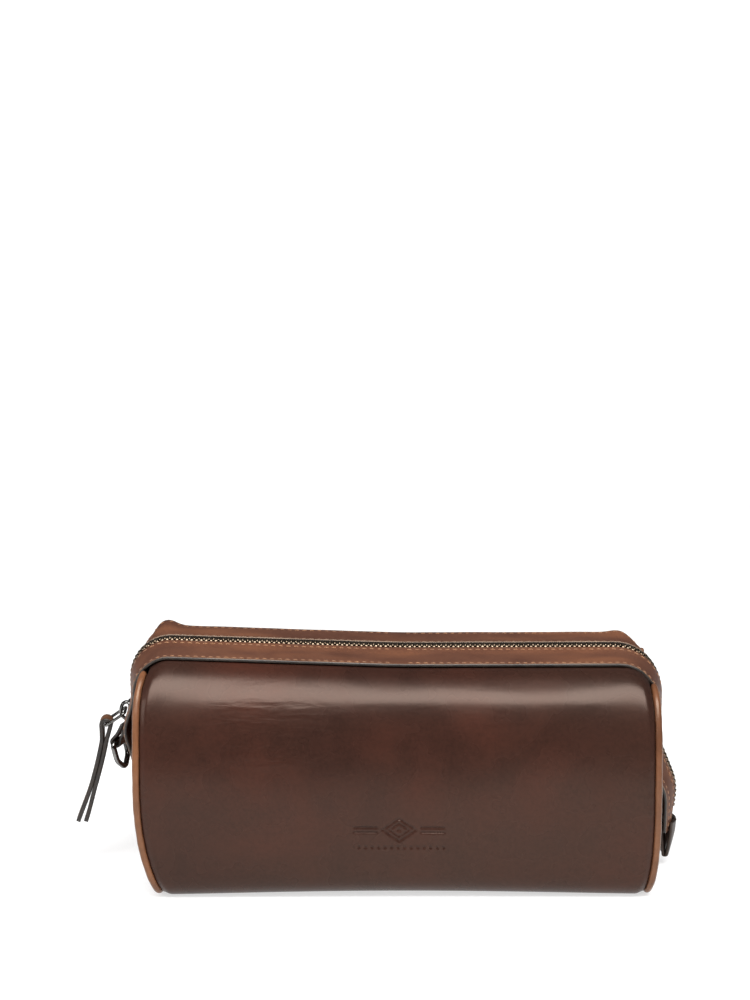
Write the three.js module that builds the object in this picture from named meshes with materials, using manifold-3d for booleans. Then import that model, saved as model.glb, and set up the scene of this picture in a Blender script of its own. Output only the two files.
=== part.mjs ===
// A leather wash bag: a boxy body wrapped from one panel, two domed end panels with piped seams, and a
// zip band that runs up the left end, over the top and down the right end, where it ends in a free tail.
// Millimetres, +Z up, +X along the bag to the right, the front faces -Y. The origin is the base's centre.
import * as THREE from "three";
import { mergeVertices } from "three/addons/utils/BufferGeometryUtils.js";
import Module from "manifold-3d";

const wasm = await Module();
wasm.setup();

// ---- driving dimensions -------------------------------------------------------------------------
const LEATHER = 1.6; // thickness of the panels and strips
const GAP = 0.3; // clearance kept between pieces that touch

const BASE_HALF_DEPTH = 43; // flat part of the base, from the middle to where the corner starts
const WALL_FOOT = [57, 14]; // where the bottom corner meets the wall: half depth, height
const TOP_HALF_WIDTH = 31; // from the zip's middle line to a strip's outer edge
const TOP_HEIGHT = 115; // the zip tape's height at the middle of the bag
const SEAM_ALLOWANCE = 6; // the body panel's margin under the strips
// The piped seams: how far out each runs, at what height, and how far it draws in at the base and at the top.
const SEAM_LEFT = { x: 127.8, height: 70, foot: 8.5, head: 6 };
const SEAM_RIGHT = { x: 127.2, height: 58, foot: 3.4, head: 2.8 };
const END_DOME = 0.9; // how far an end panel bulges past its seam
const EDGE_ROLL = 1.3; // how far the body panel turns in at a piped seam
const PIPING_INSET = 2.2; // from the body's outline in to the piping's middle
const END_SLOT = { halfWidth: 3.6, foot: 66 }; // the opening behind the zip in each end
const PIPING_RADIUS = 1.75;

const CORNER_LEFT = 16; // the zip band's bend over the top corner on the left
const CORNER_RIGHT = 19.5; // and on the right
const BAND_X_LEFT = -132.6; // the zip tape's plane on the left end
const BAND_X_RIGHT = 132.2; // and on the right end
const BAND_FOOT_LEFT = 61; // height at which the band ends on the left
const TAIL_ROOT = 65.4; // height at which the tail leaves the right end
const TAIL_BULGE = [141.2, 43.5]; // how far the tail stands out, and at what height
const TAIL_TIP = [137.2, 4.6]; // the tail's lower end

const TOOTH_PITCH = 2.44; // between teeth of one row
const TOOTH_LENGTH = 0.85; // along the zip
const TOOTH_THICKNESS = [-1.1, 1.5]; // below and above the tape's upper face
const TOOTH_REACH = 1.25; // how far a tooth passes the zip's middle line
const TEETH_PER_STEP = 3; // teeth on each straight step of the rail
const RAIL = [1.5, 3.0]; // the part of a tooth that clamps the tape's edge
const TAPE = { inner: 3.3, outer: 17, thickness: 0.6 };
const STRIP_INNER = 5.0; // from the zip's middle line to a strip's inner edge

const SLIDER_Z = 81.5; // the slider's centre when the zip is closed
const SLIDER_LENGTH = 11;
const TAB_LENGTH = 20; // the leather beak on the tail's tip

// ---- materials ----------------------------------------------------------------------------------
const finish = (color, roughness, metalness) =>
  new THREE.MeshStandardMaterial({ color, roughness, metalness });
const MATERIAL = {
  bodyLeather: finish(0x4d2c22, 0.35, 0),
  stripLeather: finish(0x7a4a32, 0.45, 0),
  pipingLeather: finish(0x8a5a36, 0.4, 0),
  edgePaint: finish(0x241b18, 0.4, 0),
  tape: finish(0x2a1d17, 0.85, 0),
  lining: finish(0x3b3029, 0.9, 0),
  board: finish(0x8c7a62, 0.95, 0),
  teeth: finish(0x8d8377, 0.35, 1),
  gunmetal: finish(0x55534f, 0.25, 1),
};

const bag = new THREE.Group();

function add(name, geometry, material) {
  const mesh = new THREE.Mesh(geometry, material);
  mesh.name = name;
  bag.add(mesh);
  return mesh;
}

// ---- shared geometry helpers --------------------------------------------------------------------
const mix = THREE.MathUtils.lerp;
const smooth = THREE.MathUtils.smoothstep;

function signedVolume(positions, index) {
  const [a, b, c] = [0, 0, 0].map(() => new THREE.Vector3());
  let six = 0;
  for (let i = 0; i < index.length; i += 3) {
    a.fromArray(positions, index[i] * 3);
    b.fromArray(positions, index[i + 1] * 3);
    c.fromArray(positions, index[i + 2] * 3);
    six += a.dot(b.cross(c));
  }
  return six / 6;
}

// A BufferGeometry from points and triangles, with its faces turned outwards.
function closedGeometry(points, index) {
  const positions = points.flatMap((p) => [p.x, p.y, p.z]);
  if (signedVolume(positions, index) < 0) index.reverse();
  const geometry = new THREE.BufferGeometry();
  geometry.setAttribute("position", new THREE.Float32BufferAttribute(positions, 3));
  geometry.setIndex(index);
  geometry.computeVertexNormals();
  return geometry;
}

// A thin solid between two facing grids of points, point(layer, i, j) with layer 0 outside and 1 inside.
function sheet(rows, columns, point) {
  const points = [];
  const index = [];
  const layer = rows * columns;
  for (let side = 0; side < 2; side++)
    for (let i = 0; i < rows; i++)
      for (let j = 0; j < columns; j++) points.push(point(side, i, j));
  const quad = (a, b, c, d) => index.push(a, b, c, a, c, d);
  const wall = (a, b) => quad(b, a, a + layer, b + layer);
  for (let i = 0; i + 1 < rows; i++)
    for (let j = 0; j + 1 < columns; j++) {
      const a = i * columns + j;
      quad(a, a + 1, a + columns + 1, a + columns);
      quad(layer + a, layer + a + columns, layer + a + columns + 1, layer + a + 1);
    }
  for (let j = 0; j + 1 < columns; j++) {
    wall(j, j + 1);
    wall((rows - 1) * columns + j + 1, (rows - 1) * columns + j);
  }
  for (let i = 0; i + 1 < rows; i++) {
    wall((i + 1) * columns, i * columns);
    wall((i + 1) * columns - 1, (i + 2) * columns - 1);
  }
  return closedGeometry(points, index);
}

// A round tube along a flat path. place(u, v, w) puts a point that is w off the path's plane.
function flatTube(path, closed, radius, sides, place) {
  const points = [];
  const index = [];
  const count = path.length;
  const at = (i) => path[closed ? (i + count) % count : THREE.MathUtils.clamp(i, 0, count - 1)];
  for (let i = 0; i < count; i++) {
    const along = at(i + 1).clone().sub(at(i - 1)).normalize();
    for (let k = 0; k < sides; k++) {
      const angle = (2 * Math.PI * k) / sides;
      const out = radius * Math.cos(angle);
      points.push(
        place(path[i].x + along.y * out, path[i].y - along.x * out, radius * Math.sin(angle)),
      );
    }
  }
  for (let i = 0; i < (closed ? count : count - 1); i++)
    for (let k = 0; k < sides; k++) {
      const next = (k + 1) % sides;
      const [a, b] = [i * sides, ((i + 1) % count) * sides];
      index.push(a + k, b + k, b + next, a + k, b + next, a + next);
    }
  if (!closed)
    for (let k = 1; k + 1 < sides; k++) {
      const end = (count - 1) * sides;
      index.push(0, k, k + 1, end, end + k + 1, end + k);
    }
  return closedGeometry(points, index);
}

function toSolid(geometry) {
  const bare = geometry.index ? geometry.toNonIndexed() : geometry.clone();
  bare.deleteAttribute("normal");
  bare.deleteAttribute("uv");
  const merged = mergeVertices(bare, 1e-4);
  return new wasm.Manifold(
    new wasm.Mesh({
      numProp: 3,
      vertProperties: merged.attributes.position.array,
      triVerts: new Uint32Array(merged.index.array),
    }),
  );
}

function fromSolid(solid) {
  const { vertProperties, triVerts, numProp } = solid.getMesh();
  const geometry = new THREE.BufferGeometry();
  const positions = new Float32Array((vertProperties.length / numProp) * 3);
  for (let i = 0; i * numProp < vertProperties.length; i++)
    positions.set(vertProperties.subarray(i * numProp, i * numProp + 3), i * 3);
  geometry.setAttribute("position", new THREE.BufferAttribute(positions, 3));
  geometry.setIndex(new THREE.BufferAttribute(triVerts, 1));
  geometry.computeVertexNormals();
  return geometry;
}

const joined = (...geometries) =>
  fromSolid(geometries.map(toSolid).reduce((whole, piece) => whole.add(piece)));

// Points along a polyline in which each middle corner [x, z, radius] is rounded by an arc.
function roundedPath(corners, arcStep) {
  const path = [new THREE.Vector2(corners[0][0], corners[0][1])];
  for (let i = 1; i + 1 < corners.length; i++) {
    const corner = new THREE.Vector2(corners[i][0], corners[i][1]);
    const before = new THREE.Vector2(...corners[i - 1].slice(0, 2)).sub(corner).normalize();
    const after = new THREE.Vector2(...corners[i + 1].slice(0, 2)).sub(corner).normalize();
    const half = Math.acos(THREE.MathUtils.clamp(before.dot(after), -1, 1)) / 2;
    const radius = corners[i][2];
    const reach = radius / Math.tan(half);
    const inward = before.clone().add(after).normalize();
    const centre = corner.clone().addScaledVector(inward, radius / Math.sin(half));
    const from = corner.clone().addScaledVector(before, reach).sub(centre);
    const turn = Math.PI - 2 * half;
    const way = Math.sign(before.cross(after)) * -1;
    const steps = Math.ceil(Math.min((radius * turn) / arcStep, 7)) + 1;
    for (let k = 0; k <= steps; k++)
      path.push(
        from.clone().rotateAround(new THREE.Vector2(), (way * turn * k) / steps).add(centre),
      );
  }
  const last = corners[corners.length - 1];
  path.push(new THREE.Vector2(last[0], last[1]));
  return path;
}

// ---- the zip band's middle line, from its left foot over the top to the tail's tip ---------------
const TOP_LEFT = TOP_HEIGHT + 4; // the top corner on the left stands higher
const TOP_RIGHT = TOP_HEIGHT - 0.3; // than the one on the right
const SAG_RADIUS = 900; // the slow curve by which the top sags between its corners
const bandPath = roundedPath(
  [
    [BAND_X_LEFT, BAND_FOOT_LEFT],
    [BAND_X_LEFT, TOP_LEFT, CORNER_LEFT],
    [0, TOP_HEIGHT - 0.6, SAG_RADIUS],
    [BAND_X_RIGHT, TOP_RIGHT, CORNER_RIGHT],
    [BAND_X_RIGHT, TAIL_ROOT, 20],
    [...TAIL_BULGE, 26],
    TAIL_TIP,
  ],
  6,
);
const bandLengths = bandPath.reduce(
  (sums, p, i) => [...sums, i ? sums[i - 1] + p.distanceTo(bandPath[i - 1]) : 0],
  [],
);
const BAND_END = bandLengths[bandLengths.length - 1];

// The middle line's point and its outward direction at a distance s along it.
function bandFrame(s) {
  let i = 1;
  while (i < bandPath.length - 1 && bandLengths[i] < s) i++;
  const share = (s - bandLengths[i - 1]) / (bandLengths[i] - bandLengths[i - 1]);
  const direction = (k) => {
    const a = bandPath[Math.max(0, k - 1)];
    const b = bandPath[Math.min(bandPath.length - 1, k + 1)];
    return b.clone().sub(a).normalize();
  };
  const along = direction(i - 1).lerp(direction(i), THREE.MathUtils.clamp(share, 0, 1)).normalize();
  return {
    point: bandPath[i - 1].clone().lerp(bandPath[i], share),
    out: new THREE.Vector2(-along.y, along.x),
  };
}

// The distance along the middle line at which it first meets a condition.
function distanceWhere(test, from = 0) {
  let s = from;
  while (s < BAND_END && !test(bandFrame(s).point)) s += 0.25;
  return s;
}

const FLAP_HALF_LENGTH = 112; // the stretch of the top that swings open, each side of the middle
const S = {
  flapStart: distanceWhere((p) => p.x > -FLAP_HALF_LENGTH && p.y > TOP_HEIGHT - 4),
  flapEnd: distanceWhere((p) => p.x > FLAP_HALF_LENGTH),
  tail: distanceWhere((p) => p.x > 100 && p.y < TAIL_ROOT + 4),
};
// How far the band falls away from its middle line at a distance t to the side.
const onTop = (s) => smooth(s, S.flapStart - 22, S.flapStart) * (1 - smooth(s, S.flapEnd, S.flapEnd + 22));
const onTail = (s) => smooth(s, S.tail - 6, S.tail + 18);
const CREASES = [TAPE.inner, 11]; // where the band's slope changes across its width
function crown(s, t) {
  const near = THREE.MathUtils.clamp(Math.abs(t) - CREASES[0], 0, CREASES[1] - CREASES[0]);
  const far = Math.max(Math.abs(t) - CREASES[1], 0);
  const top = onTop(s);
  const tail = onTail(s);
  const nearSlope = mix(mix(0.16, 0.25, top), 0.34, tail);
  const farSlope = mix(mix(0.12, 0.0175, top), 0.36, tail);
  return near * nearSlope + far * farSlope;
}

function bandPoint(s, t, n) {
  const { point, out } = bandFrame(s);
  const rise = n - crown(s, t);
  return new THREE.Vector3(point.x + out.x * rise, t, point.y + out.y * rise);
}

// Half the band's width: it narrows down each end and again along the tail.
function bandHalfWidth(s) {
  const left = mix(22, TOP_HALF_WIDTH, smooth(s, 0, S.flapStart));
  const right = mix(TOP_HALF_WIDTH, 20, smooth(s, S.flapEnd + 14, S.tail));
  return s < (S.flapStart + S.flapEnd) / 2 ? left : mix(right, 11, smooth(s, S.tail, BAND_END - 6));
}

// ---- the body's cross-section -------------------------------------------------------------------
// The height at x of the line on which the strips' outer edges rest.
function edgeRest(x) {
  const rest = (s) => bandPoint(s, TOP_HALF_WIDTH, -GAP);
  let s = BAND_FOOT_LEFT / 3;
  while (rest(s).x < x && s < BAND_END) s += 0.5;
  return rest(s).z;
}

// Half of the outline, from the base's middle out and up to the panel's margin under a strip.
function halfOutline(x, inset, withMargin) {
  const top = edgeRest(x);
  const corner = new THREE.CubicBezierCurve(
    new THREE.Vector2(BASE_HALF_DEPTH, 0),
    new THREE.Vector2(BASE_HALF_DEPTH + 9, 0),
    new THREE.Vector2(WALL_FOOT[0] - 1, 5),
    new THREE.Vector2(...WALL_FOOT),
  );
  const wall = new THREE.CubicBezierCurve(
    new THREE.Vector2(...WALL_FOOT),
    new THREE.Vector2(WALL_FOOT[0] + 2.5, 0.55 * top),
    new THREE.Vector2(WALL_FOOT[0] - 4, 0.97 * top),
    new THREE.Vector2(TOP_HALF_WIDTH + 0.5, top),
  );
  const line = [new THREE.Vector2(0, 0), ...corner.getPoints(3), ...wall.getPoints(7).slice(1)];
  if (withMargin) line.push(new THREE.Vector2(TOP_HALF_WIDTH - SEAM_ALLOWANCE, top + 0.1));
  return line.map((p, i) => {
    const before = line[Math.max(0, i - 1)];
    const after = line[Math.min(line.length - 1, i + 1)];
    const along = after.clone().sub(before).normalize();
    const y = i ? p.x - along.y * inset : 0;
    return new THREE.Vector2(y, p.y + along.x * inset);
  });
}

// The whole outline at x, from the back's top edge under the base to the front's.
function outline(x, inset, withMargin = true) {
  const half = halfOutline(x, inset, withMargin);
  const back = [...half].reverse().map((p) => new THREE.Vector2(p.x, p.y));
  return [...back, ...half.slice(1).map((p) => new THREE.Vector2(-p.x, p.y))];
}

// How far out a piped seam runs at a height, on the left (side < 0) or the right.
function endSeamX(z, side) {
  const seam = side < 0 ? SEAM_LEFT : SEAM_RIGHT;
  const [draw, run] = z < seam.height ? [seam.foot, seam.height] : [seam.head, TOP_HEIGHT - seam.height];
  return seam.x - draw * ((z - seam.height) / run) ** 2;
}

// A wrapped sheet inside the body's outline, rolled in at both ends.
function wrappedSheet(inset, thickness, endInset, half) {
  const stations = [...[...half].reverse().map((share) => -share), ...half.slice(1)];
  const reach = PIPING_RADIUS + GAP + endInset;
  const lines = stations.map((share) =>
    [0, 1].map((side) =>
      outline(
        share * (endSeamX(TOP_HEIGHT, share) - reach),
        inset + EDGE_ROLL * smooth(Math.abs(share), 0.965, 1) ** 2 + side * thickness,
      ).map((p) => {
        const x = share * (endSeamX(p.y, share) - reach);
        return new THREE.Vector3(x, p.x, p.y);
      }),
    ),
  );
  return sheet(stations.length, lines[0][0].length, (side, i, j) => lines[i][side][j]);
}

// ---- body, ends and lining ----------------------------------------------------------------------
function endSheet(side, inset, thickness, seamOffset) {
  const rim = halfOutline(side * endSeamX(TOP_HEIGHT, side), inset, false).slice(1);
  const columns = 5;
  const top = rim[rim.length - 1].y;
  const panel = sheet(rim.length, columns, (layer, i, j) => {
    const across = (2 * j) / (columns - 1) - 1;
    const { x: halfDepth, y: z } = rim[i];
    const bulge = END_DOME * (1 - across ** 2) * (1 - ((2 * z) / top - 1) ** 4);
    const out = endSeamX(z, side) + seamOffset + bulge - layer * thickness;
    return new THREE.Vector3(side * out, across * halfDepth, z);
  });
  const slot = new THREE.BoxGeometry(40, 2 * END_SLOT.halfWidth, 100);
  slot.translate(side * SEAM_RIGHT.x, 0, END_SLOT.foot + 50);
  return fromSolid(toSolid(panel).subtract(toSolid(slot)));
}

// A tube around a piped seam, from under the back strip down and round to under the front strip.
function seamTube(side, radius) {
  const rim = outline(side * endSeamX(TOP_HEIGHT, side), PIPING_INSET, false).slice(1, -1);
  const points = rim.map((p) => new THREE.Vector3(side * endSeamX(p.y, side), p.x, p.y));
  const section = new THREE.Shape().absarc(0, 0, radius, 0, 2 * Math.PI);
  const extrudePath = new THREE.CatmullRomCurve3(points, false, "centripetal");
  return new THREE.ExtrudeGeometry(section, { steps: 32, curveSegments: 4, extrudePath });
}

function buildBody() {
  add("body_panel", wrappedSheet(0, LEATHER + 0.4, 0, [0, 0.45, 0.85, 0.94, 0.98, 1]), MATERIAL.bodyLeather);
  add("base_board", baseBoard(), MATERIAL.board);
  add("lining_body", wrappedSheet(4.6, 0.6, 2, [0, 0.85, 1]), MATERIAL.lining);
  const rimInset = PIPING_INSET + PIPING_RADIUS + 3 * GAP;
  for (const [name, side] of [["left", -1], ["right", 1]]) {
    add(name + "_end_panel", endSheet(side, rimInset, LEATHER, 0.2), MATERIAL.bodyLeather);
    add(name + "_lining_end", endSheet(side, rimInset + 0.6, 0.6, -2.4), MATERIAL.lining);
    add(name + "_piping", seamTube(side, PIPING_RADIUS), MATERIAL.pipingLeather);
  }
}

function baseBoard() {
  const width = 2 * BASE_HALF_DEPTH - 6;
  const length = 2 * (SEAM_LEFT.x - SEAM_LEFT.foot) - 28;
  const board = new THREE.BoxGeometry(length, width, 1.6);
  return board.translate(0, 0, LEATHER + 0.4 + GAP + 0.8);
}

// ---- the zip band -------------------------------------------------------------------------------
// Places along the band close enough together for its bends.
function stationsBetween(from, to, coarse) {
  const middle = bandLengths.filter((s) => s > from + 1 && s < to - 1);
  const all = [from, ...middle, to];
  const filled = all.flatMap((s, i) => {
    const length = i ? s - all[i - 1] : 0;
    const parts = Math.max(1, Math.ceil(length / coarse));
    return i ? Array.from({ length: parts }, (_, k) => all[i - 1] + ((k + 1) * length) / parts) : [s];
  });
  return filled;
}

function layerOfBand(from, to, side, inner, outer, below, above) {
  const rows = stationsBetween(from, to, 40);
  const edges = [inner, CREASES[1]];
  return sheet(rows.length, edges.length + 1, (layer, i, j) => {
    const t = j < edges.length ? edges[j] : outer(rows[i]);
    return bandPoint(rows[i], side * t, layer ? below : above);
  });
}

// One row's teeth joined by the rail that clamps the tape's edge.
function teethRow(from, to, side) {
  const [railInner, railOuter] = RAIL;
  const offset = side > 0 ? TOOTH_PITCH / 2 : 0;
  const points = [];
  const index = [];
  const quad = (a, b, c, d) => index.push(a, b, c, a, c, d);
  const section = (s, t) => {
    for (const n of TOOTH_THICKNESS) points.push(bandPoint(s, side * t, n));
    return points.length - 2;
  };
  // Each pair is [below, above]; the surface is closed between two pairs.
  const link = (a, b) => quad(a, b, b + 1, a + 1);
  const fan = (pairs) => {
    for (let k = 1; k + 1 < pairs.length; k++)
      index.push(pairs[0] + 1, pairs[k] + 1, pairs[k + 1] + 1, pairs[0], pairs[k + 1], pairs[k]);
  };
  const start = [section(from, railOuter), section(from, railInner)];
  link(start[0], start[1]);
  let [outer, inner] = start;
  const first = Math.ceil((from - offset + 0.2) / TOOTH_PITCH);
  const count = Math.floor((to - 0.2 - TOOTH_LENGTH - offset) / TOOTH_PITCH) - first + 1;
  for (let k = 0; k < count; k += TEETH_PER_STEP) {
    const group = Math.min(TEETH_PER_STEP, count - k);
    const rail = [inner];
    for (let m = 0; m < group; m++) {
      const s = offset + (first + k + m) * TOOTH_PITCH;
      const footA = section(s, railInner);
      const tipA = section(s, -TOOTH_REACH);
      const tipB = section(s + TOOTH_LENGTH, -TOOTH_REACH);
      const footB = section(s + TOOTH_LENGTH, railInner);
      link(rail[rail.length - 1], footA);
      link(footA, tipA);
      link(tipA, tipB);
      link(tipB, footB);
      fan([footA, tipA, tipB, footB]);
      rail.push(footA, footB);
    }
    const end = offset + (first + k + group - 1) * TOOTH_PITCH + TOOTH_LENGTH;
    const finish = k + group >= count;
    const nextOuter = section(finish ? to : end, railOuter);
    if (finish) {
      rail.push(section(to, railInner));
      link(rail[rail.length - 2], rail[rail.length - 1]);
      link(rail[rail.length - 1], nextOuter);
    }
    link(nextOuter, outer);
    fan([outer, ...rail, nextOuter]);
    [outer, inner] = [nextOuter, rail[rail.length - 1]];
  }
  return closedGeometry(points, index);
}

const SPLIT = 0.6; // the cut between a stretch that swings and its neighbour
const STRETCHES = [
  { place: "left", from: 0, to: S.flapStart - SPLIT },
  { place: "top", from: S.flapStart, to: S.flapEnd },
  { place: "right", from: S.flapEnd + SPLIT, to: S.tail - 1 },
  { place: "tail", from: S.tail, to: BAND_END - TAB_LENGTH + 5 },
];
const TEETH_START = SLIDER_Z - BAND_FOOT_LEFT - SLIDER_LENGTH / 2 + 2.6; // the rows begin inside the closed slider
const TEETH_END = BAND_END - TAB_LENGTH - 7.4;

function buildZipBand() {
  for (const [row, side] of [["front", -1], ["back", 1]])
    for (const { place, from, to } of STRETCHES) {
      const strip = layerOfBand(from, to, side, STRIP_INNER, bandHalfWidth, GAP, GAP + LEATHER);
      add(`${row}_strip_${place}`, strip, MATERIAL.stripLeather);
      const edge = (s) => Math.min(TAPE.outer, bandHalfWidth(s) - 2);
      const tape = layerOfBand(from, to, side, TAPE.inner, edge, -TAPE.thickness, 0);
      add(`${row}_tape_${place}`, tape, MATERIAL.tape);
      const teeth = teethRow(Math.max(from, TEETH_START), Math.min(to, TEETH_END), side);
      add(`${row}_teeth_${place}`, teeth, MATERIAL.teeth);
    }
}

// ---- slider, pull, ring, loop, stops and tail tab -------------------------------------------------
// On the left end, a point t to the back, z up and n out from the tape.
const onLeftEnd = (n, t, z) => new THREE.Vector3(BAND_X_LEFT - n, t, z);

// A plate whose outline is drawn as half widths down from its top, between two distances out.
function leftEndPlate(halfWidths, zTop, zBottom, below, above) {
  const outlinePoints = halfWidths.map(([share, half]) => [mix(zTop, zBottom, share), half]);
  const shape = new THREE.Shape([
    ...outlinePoints.map(([z, half]) => new THREE.Vector2(half, z)),
    ...[...outlinePoints].reverse().map(([z, half]) => new THREE.Vector2(-half, z)),
  ]);
  const plate = new THREE.ExtrudeGeometry(shape, { depth: above - below, bevelEnabled: false });
  const position = plate.attributes.position;
  const points = Array.from({ length: position.count }, (_, i) =>
    onLeftEnd(below + position.getZ(i), position.getX(i), position.getY(i)),
  );
  return closedGeometry(points, points.map((_, i) => i));
}

function box(n, t, z) {
  const centre = (range) => (range[0] + range[1]) / 2;
  const size = (range) => range[1] - range[0];
  const geometry = new THREE.BoxGeometry(size(n), size(t), size(z));
  const at = onLeftEnd(centre(n), centre(t), centre(z));
  return geometry.translate(at.x, at.y, at.z);
}

function buildSlider() {
  const top = SLIDER_Z + SLIDER_LENGTH / 2;
  const bottom = SLIDER_Z - SLIDER_LENGTH / 2;
  const shield = [[0, 2.6], [0.08, 3.5], [0.55, 3.9], [0.8, 4.6], [0.94, 4.4], [1, 3.4]];
  const plates = [
    leftEndPlate(shield, top, bottom, 2.0, 3.2),
    leftEndPlate(shield, top, bottom, -2.9, -1.7),
    box([-2.0, 2.3], [-0.9, 0.9], [bottom + 0.4, bottom + 2.2]),
  ];
  for (const side of [-1, 1]) {
    const edge = side < 0 ? [-4.5, -3.8] : [3.8, 4.5];
    plates.push(box([0.9, 2.2], edge, [bottom + 1.2, bottom + 3.4]));
    plates.push(box([-1.9, -1.1], edge, [bottom + 1.2, bottom + 3.4]));
  }
  const arch = roundedPath([[3.0, top - 1.6], [5.6, top - 1.2, 1.4], [7.0, SLIDER_Z - 1, 3], [5.6, bottom + 1.4, 1.4], [3.0, bottom + 1.0]], 1);
  plates.push(flatTube(arch, false, 0.75, 6, (n, z, t) => onLeftEnd(n, t, z)));
  add("slider", joined(...plates), MATERIAL.gunmetal);
}

// The wire link that hangs from the slider's arch, tilted down and out.
const LINK = { pivot: [4.7, 81.6], length: 11.8, width: 11.4, wire: 0.75, angle: -35 };
function linkPoint(along, t, off) {
  const angle = THREE.MathUtils.degToRad(LINK.angle);
  const n = LINK.pivot[0] + along * Math.cos(angle) - off * Math.sin(angle);
  const z = LINK.pivot[1] + along * Math.sin(angle) + off * Math.cos(angle);
  return onLeftEnd(n, t, z);
}
const linkEnd = linkPoint(LINK.length, 0, 0);

function buildLink() {
  const half = LINK.width / 2;
  const loop = roundedPath(
    [[0, 0], [0, half, 1.6], [LINK.length, half, 1.6], [LINK.length, -half, 1.6], [0, -half, 1.6], [0, 0]],
    1.2,
  ).slice(0, -1);
  const link = flatTube(loop, true, LINK.wire, 8, (along, t, off) => linkPoint(along, t, off));
  add("pull_link", link, MATERIAL.gunmetal);
}

// The pull is one strap folded over the link's outer wire, with its two legs hanging and bowing outwards.
const PULL = { width: 9, thickness: 2.0, foldRadius: 2.35, legLength: 51 };
function pullSpine() {
  const bow = (down) => 13 * (down / PULL.legLength) ** 1.35;
  const down = [1, 0.85, 0.7, 0.55, 0.4, 0.25, 0.1].map((share) => share * PULL.legLength);
  const leg = (side, spread) => (d) =>
    new THREE.Vector2(linkEnd.x - bow(d) + side * mix(PULL.foldRadius, 1.2, smooth(d, 0, 12)) + side * spread(d), linkEnd.z - d);
  const spread = (d) => 0.5 * smooth(d, 30, PULL.legLength);
  const fold = [180, 150, 120, 90, 60, 30, 0].map((angle) => {
    const a = THREE.MathUtils.degToRad(angle);
    return new THREE.Vector2(linkEnd.x + PULL.foldRadius * Math.cos(a), linkEnd.z + PULL.foldRadius * Math.sin(a));
  });
  return [...down.map(leg(-1, spread)), ...fold, ...[...down].reverse().map(leg(1, spread))];
}

function strap(spine, thickness, place) {
  return sheet(spine.length, 2, (layer, i, j) => {
    const before = spine[Math.max(0, i - 1)];
    const after = spine[Math.min(spine.length - 1, i + 1)];
    const along = after.clone().sub(before).normalize();
    const off = (layer ? -0.5 : 0.5) * thickness;
    return place(spine[i].x - along.y * off, spine[i].y + along.x * off, j ? 1 : -1);
  });
}

function buildPull() {
  const place = (x, z, side) => new THREE.Vector3(x, (side * PULL.width) / 2, z);
  add("leather_pull", strap(pullSpine(), PULL.thickness, place), MATERIAL.edgePaint);
}

// The D-ring hangs in a folded leather loop at the band's left foot. Both are turned a little to the front.
const RING = { centre: [-141.1, 65.6], turn: 18, bar: 15, drop: 14.5, wire: 1.1, lean: 14 };
function ringTurned(x, t, z) {
  const turn = THREE.MathUtils.degToRad(RING.turn);
  const dx = x - RING.centre[0];
  return new THREE.Vector3(RING.centre[0] + dx * Math.cos(turn) + t * Math.sin(turn), t * Math.cos(turn) - dx * Math.sin(turn), z);
}

function buildRing() {
  const lean = THREE.MathUtils.degToRad(RING.lean);
  const half = RING.bar / 2;
  const bow = roundedPath(
    [[0, 0], [0, half, 1.8], [RING.drop * 0.62, half - 0.4, 4.5], [RING.drop, 0, 4.2], [RING.drop * 0.62, 0.4 - half, 4.5], [0, -half, 1.8], [0, 0]],
    1.5,
  ).slice(0, -1);
  const place = (down, t, off) =>
    ringTurned(RING.centre[0] + down * Math.sin(lean) + off * Math.cos(lean), t, RING.centre[1] - down * Math.cos(lean) + off * Math.sin(lean));
  add("d_ring", flatTube(bow, true, RING.wire, 8, place), MATERIAL.gunmetal);
}

function buildRingLoop() {
  const [x, z] = RING.centre;
  const radius = 2.35;
  const around = [-60, -110, -150, 180, 145, 110, 75].map((angle) => {
    const a = THREE.MathUtils.degToRad(angle);
    return new THREE.Vector2(x + radius * Math.cos(a), z + radius * Math.sin(a));
  });
  const foot = [[x + 5.1, z - 6], [x + 4.6, z - 3.4]];
  const rise = [[x + 3.2, z + 4], [x + 4.9, z + 6.6]];
  const vector = ([px, pz]) => new THREE.Vector2(px, pz);
  const spine = [...foot.map(vector), ...around, ...rise.map(vector)];
  const place = (px, pz, side) => ringTurned(px, side * 4.2, pz);
  add("d_ring_loop", strap(spine, 1.5, place), MATERIAL.stripLeather);
}

function buildStops() {
  const top = SLIDER_Z - SLIDER_LENGTH / 2 - GAP;
  for (const [row, across] of [["front", [-2.9, -1.3]], ["back", [1.3, 2.9]]])
    add(`${row}_top_stop`, box([-1.1, 1.5], across, [top - 3.2, top]), MATERIAL.teeth);
  const place = (layer, i, j) =>
    bandPoint(TEETH_END + GAP + 3.4 * i, j ? 2.9 : -2.9, layer ? -1.1 : 1.6);
  add("bottom_stop", sheet(2, 2, place), MATERIAL.teeth);
}

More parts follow.
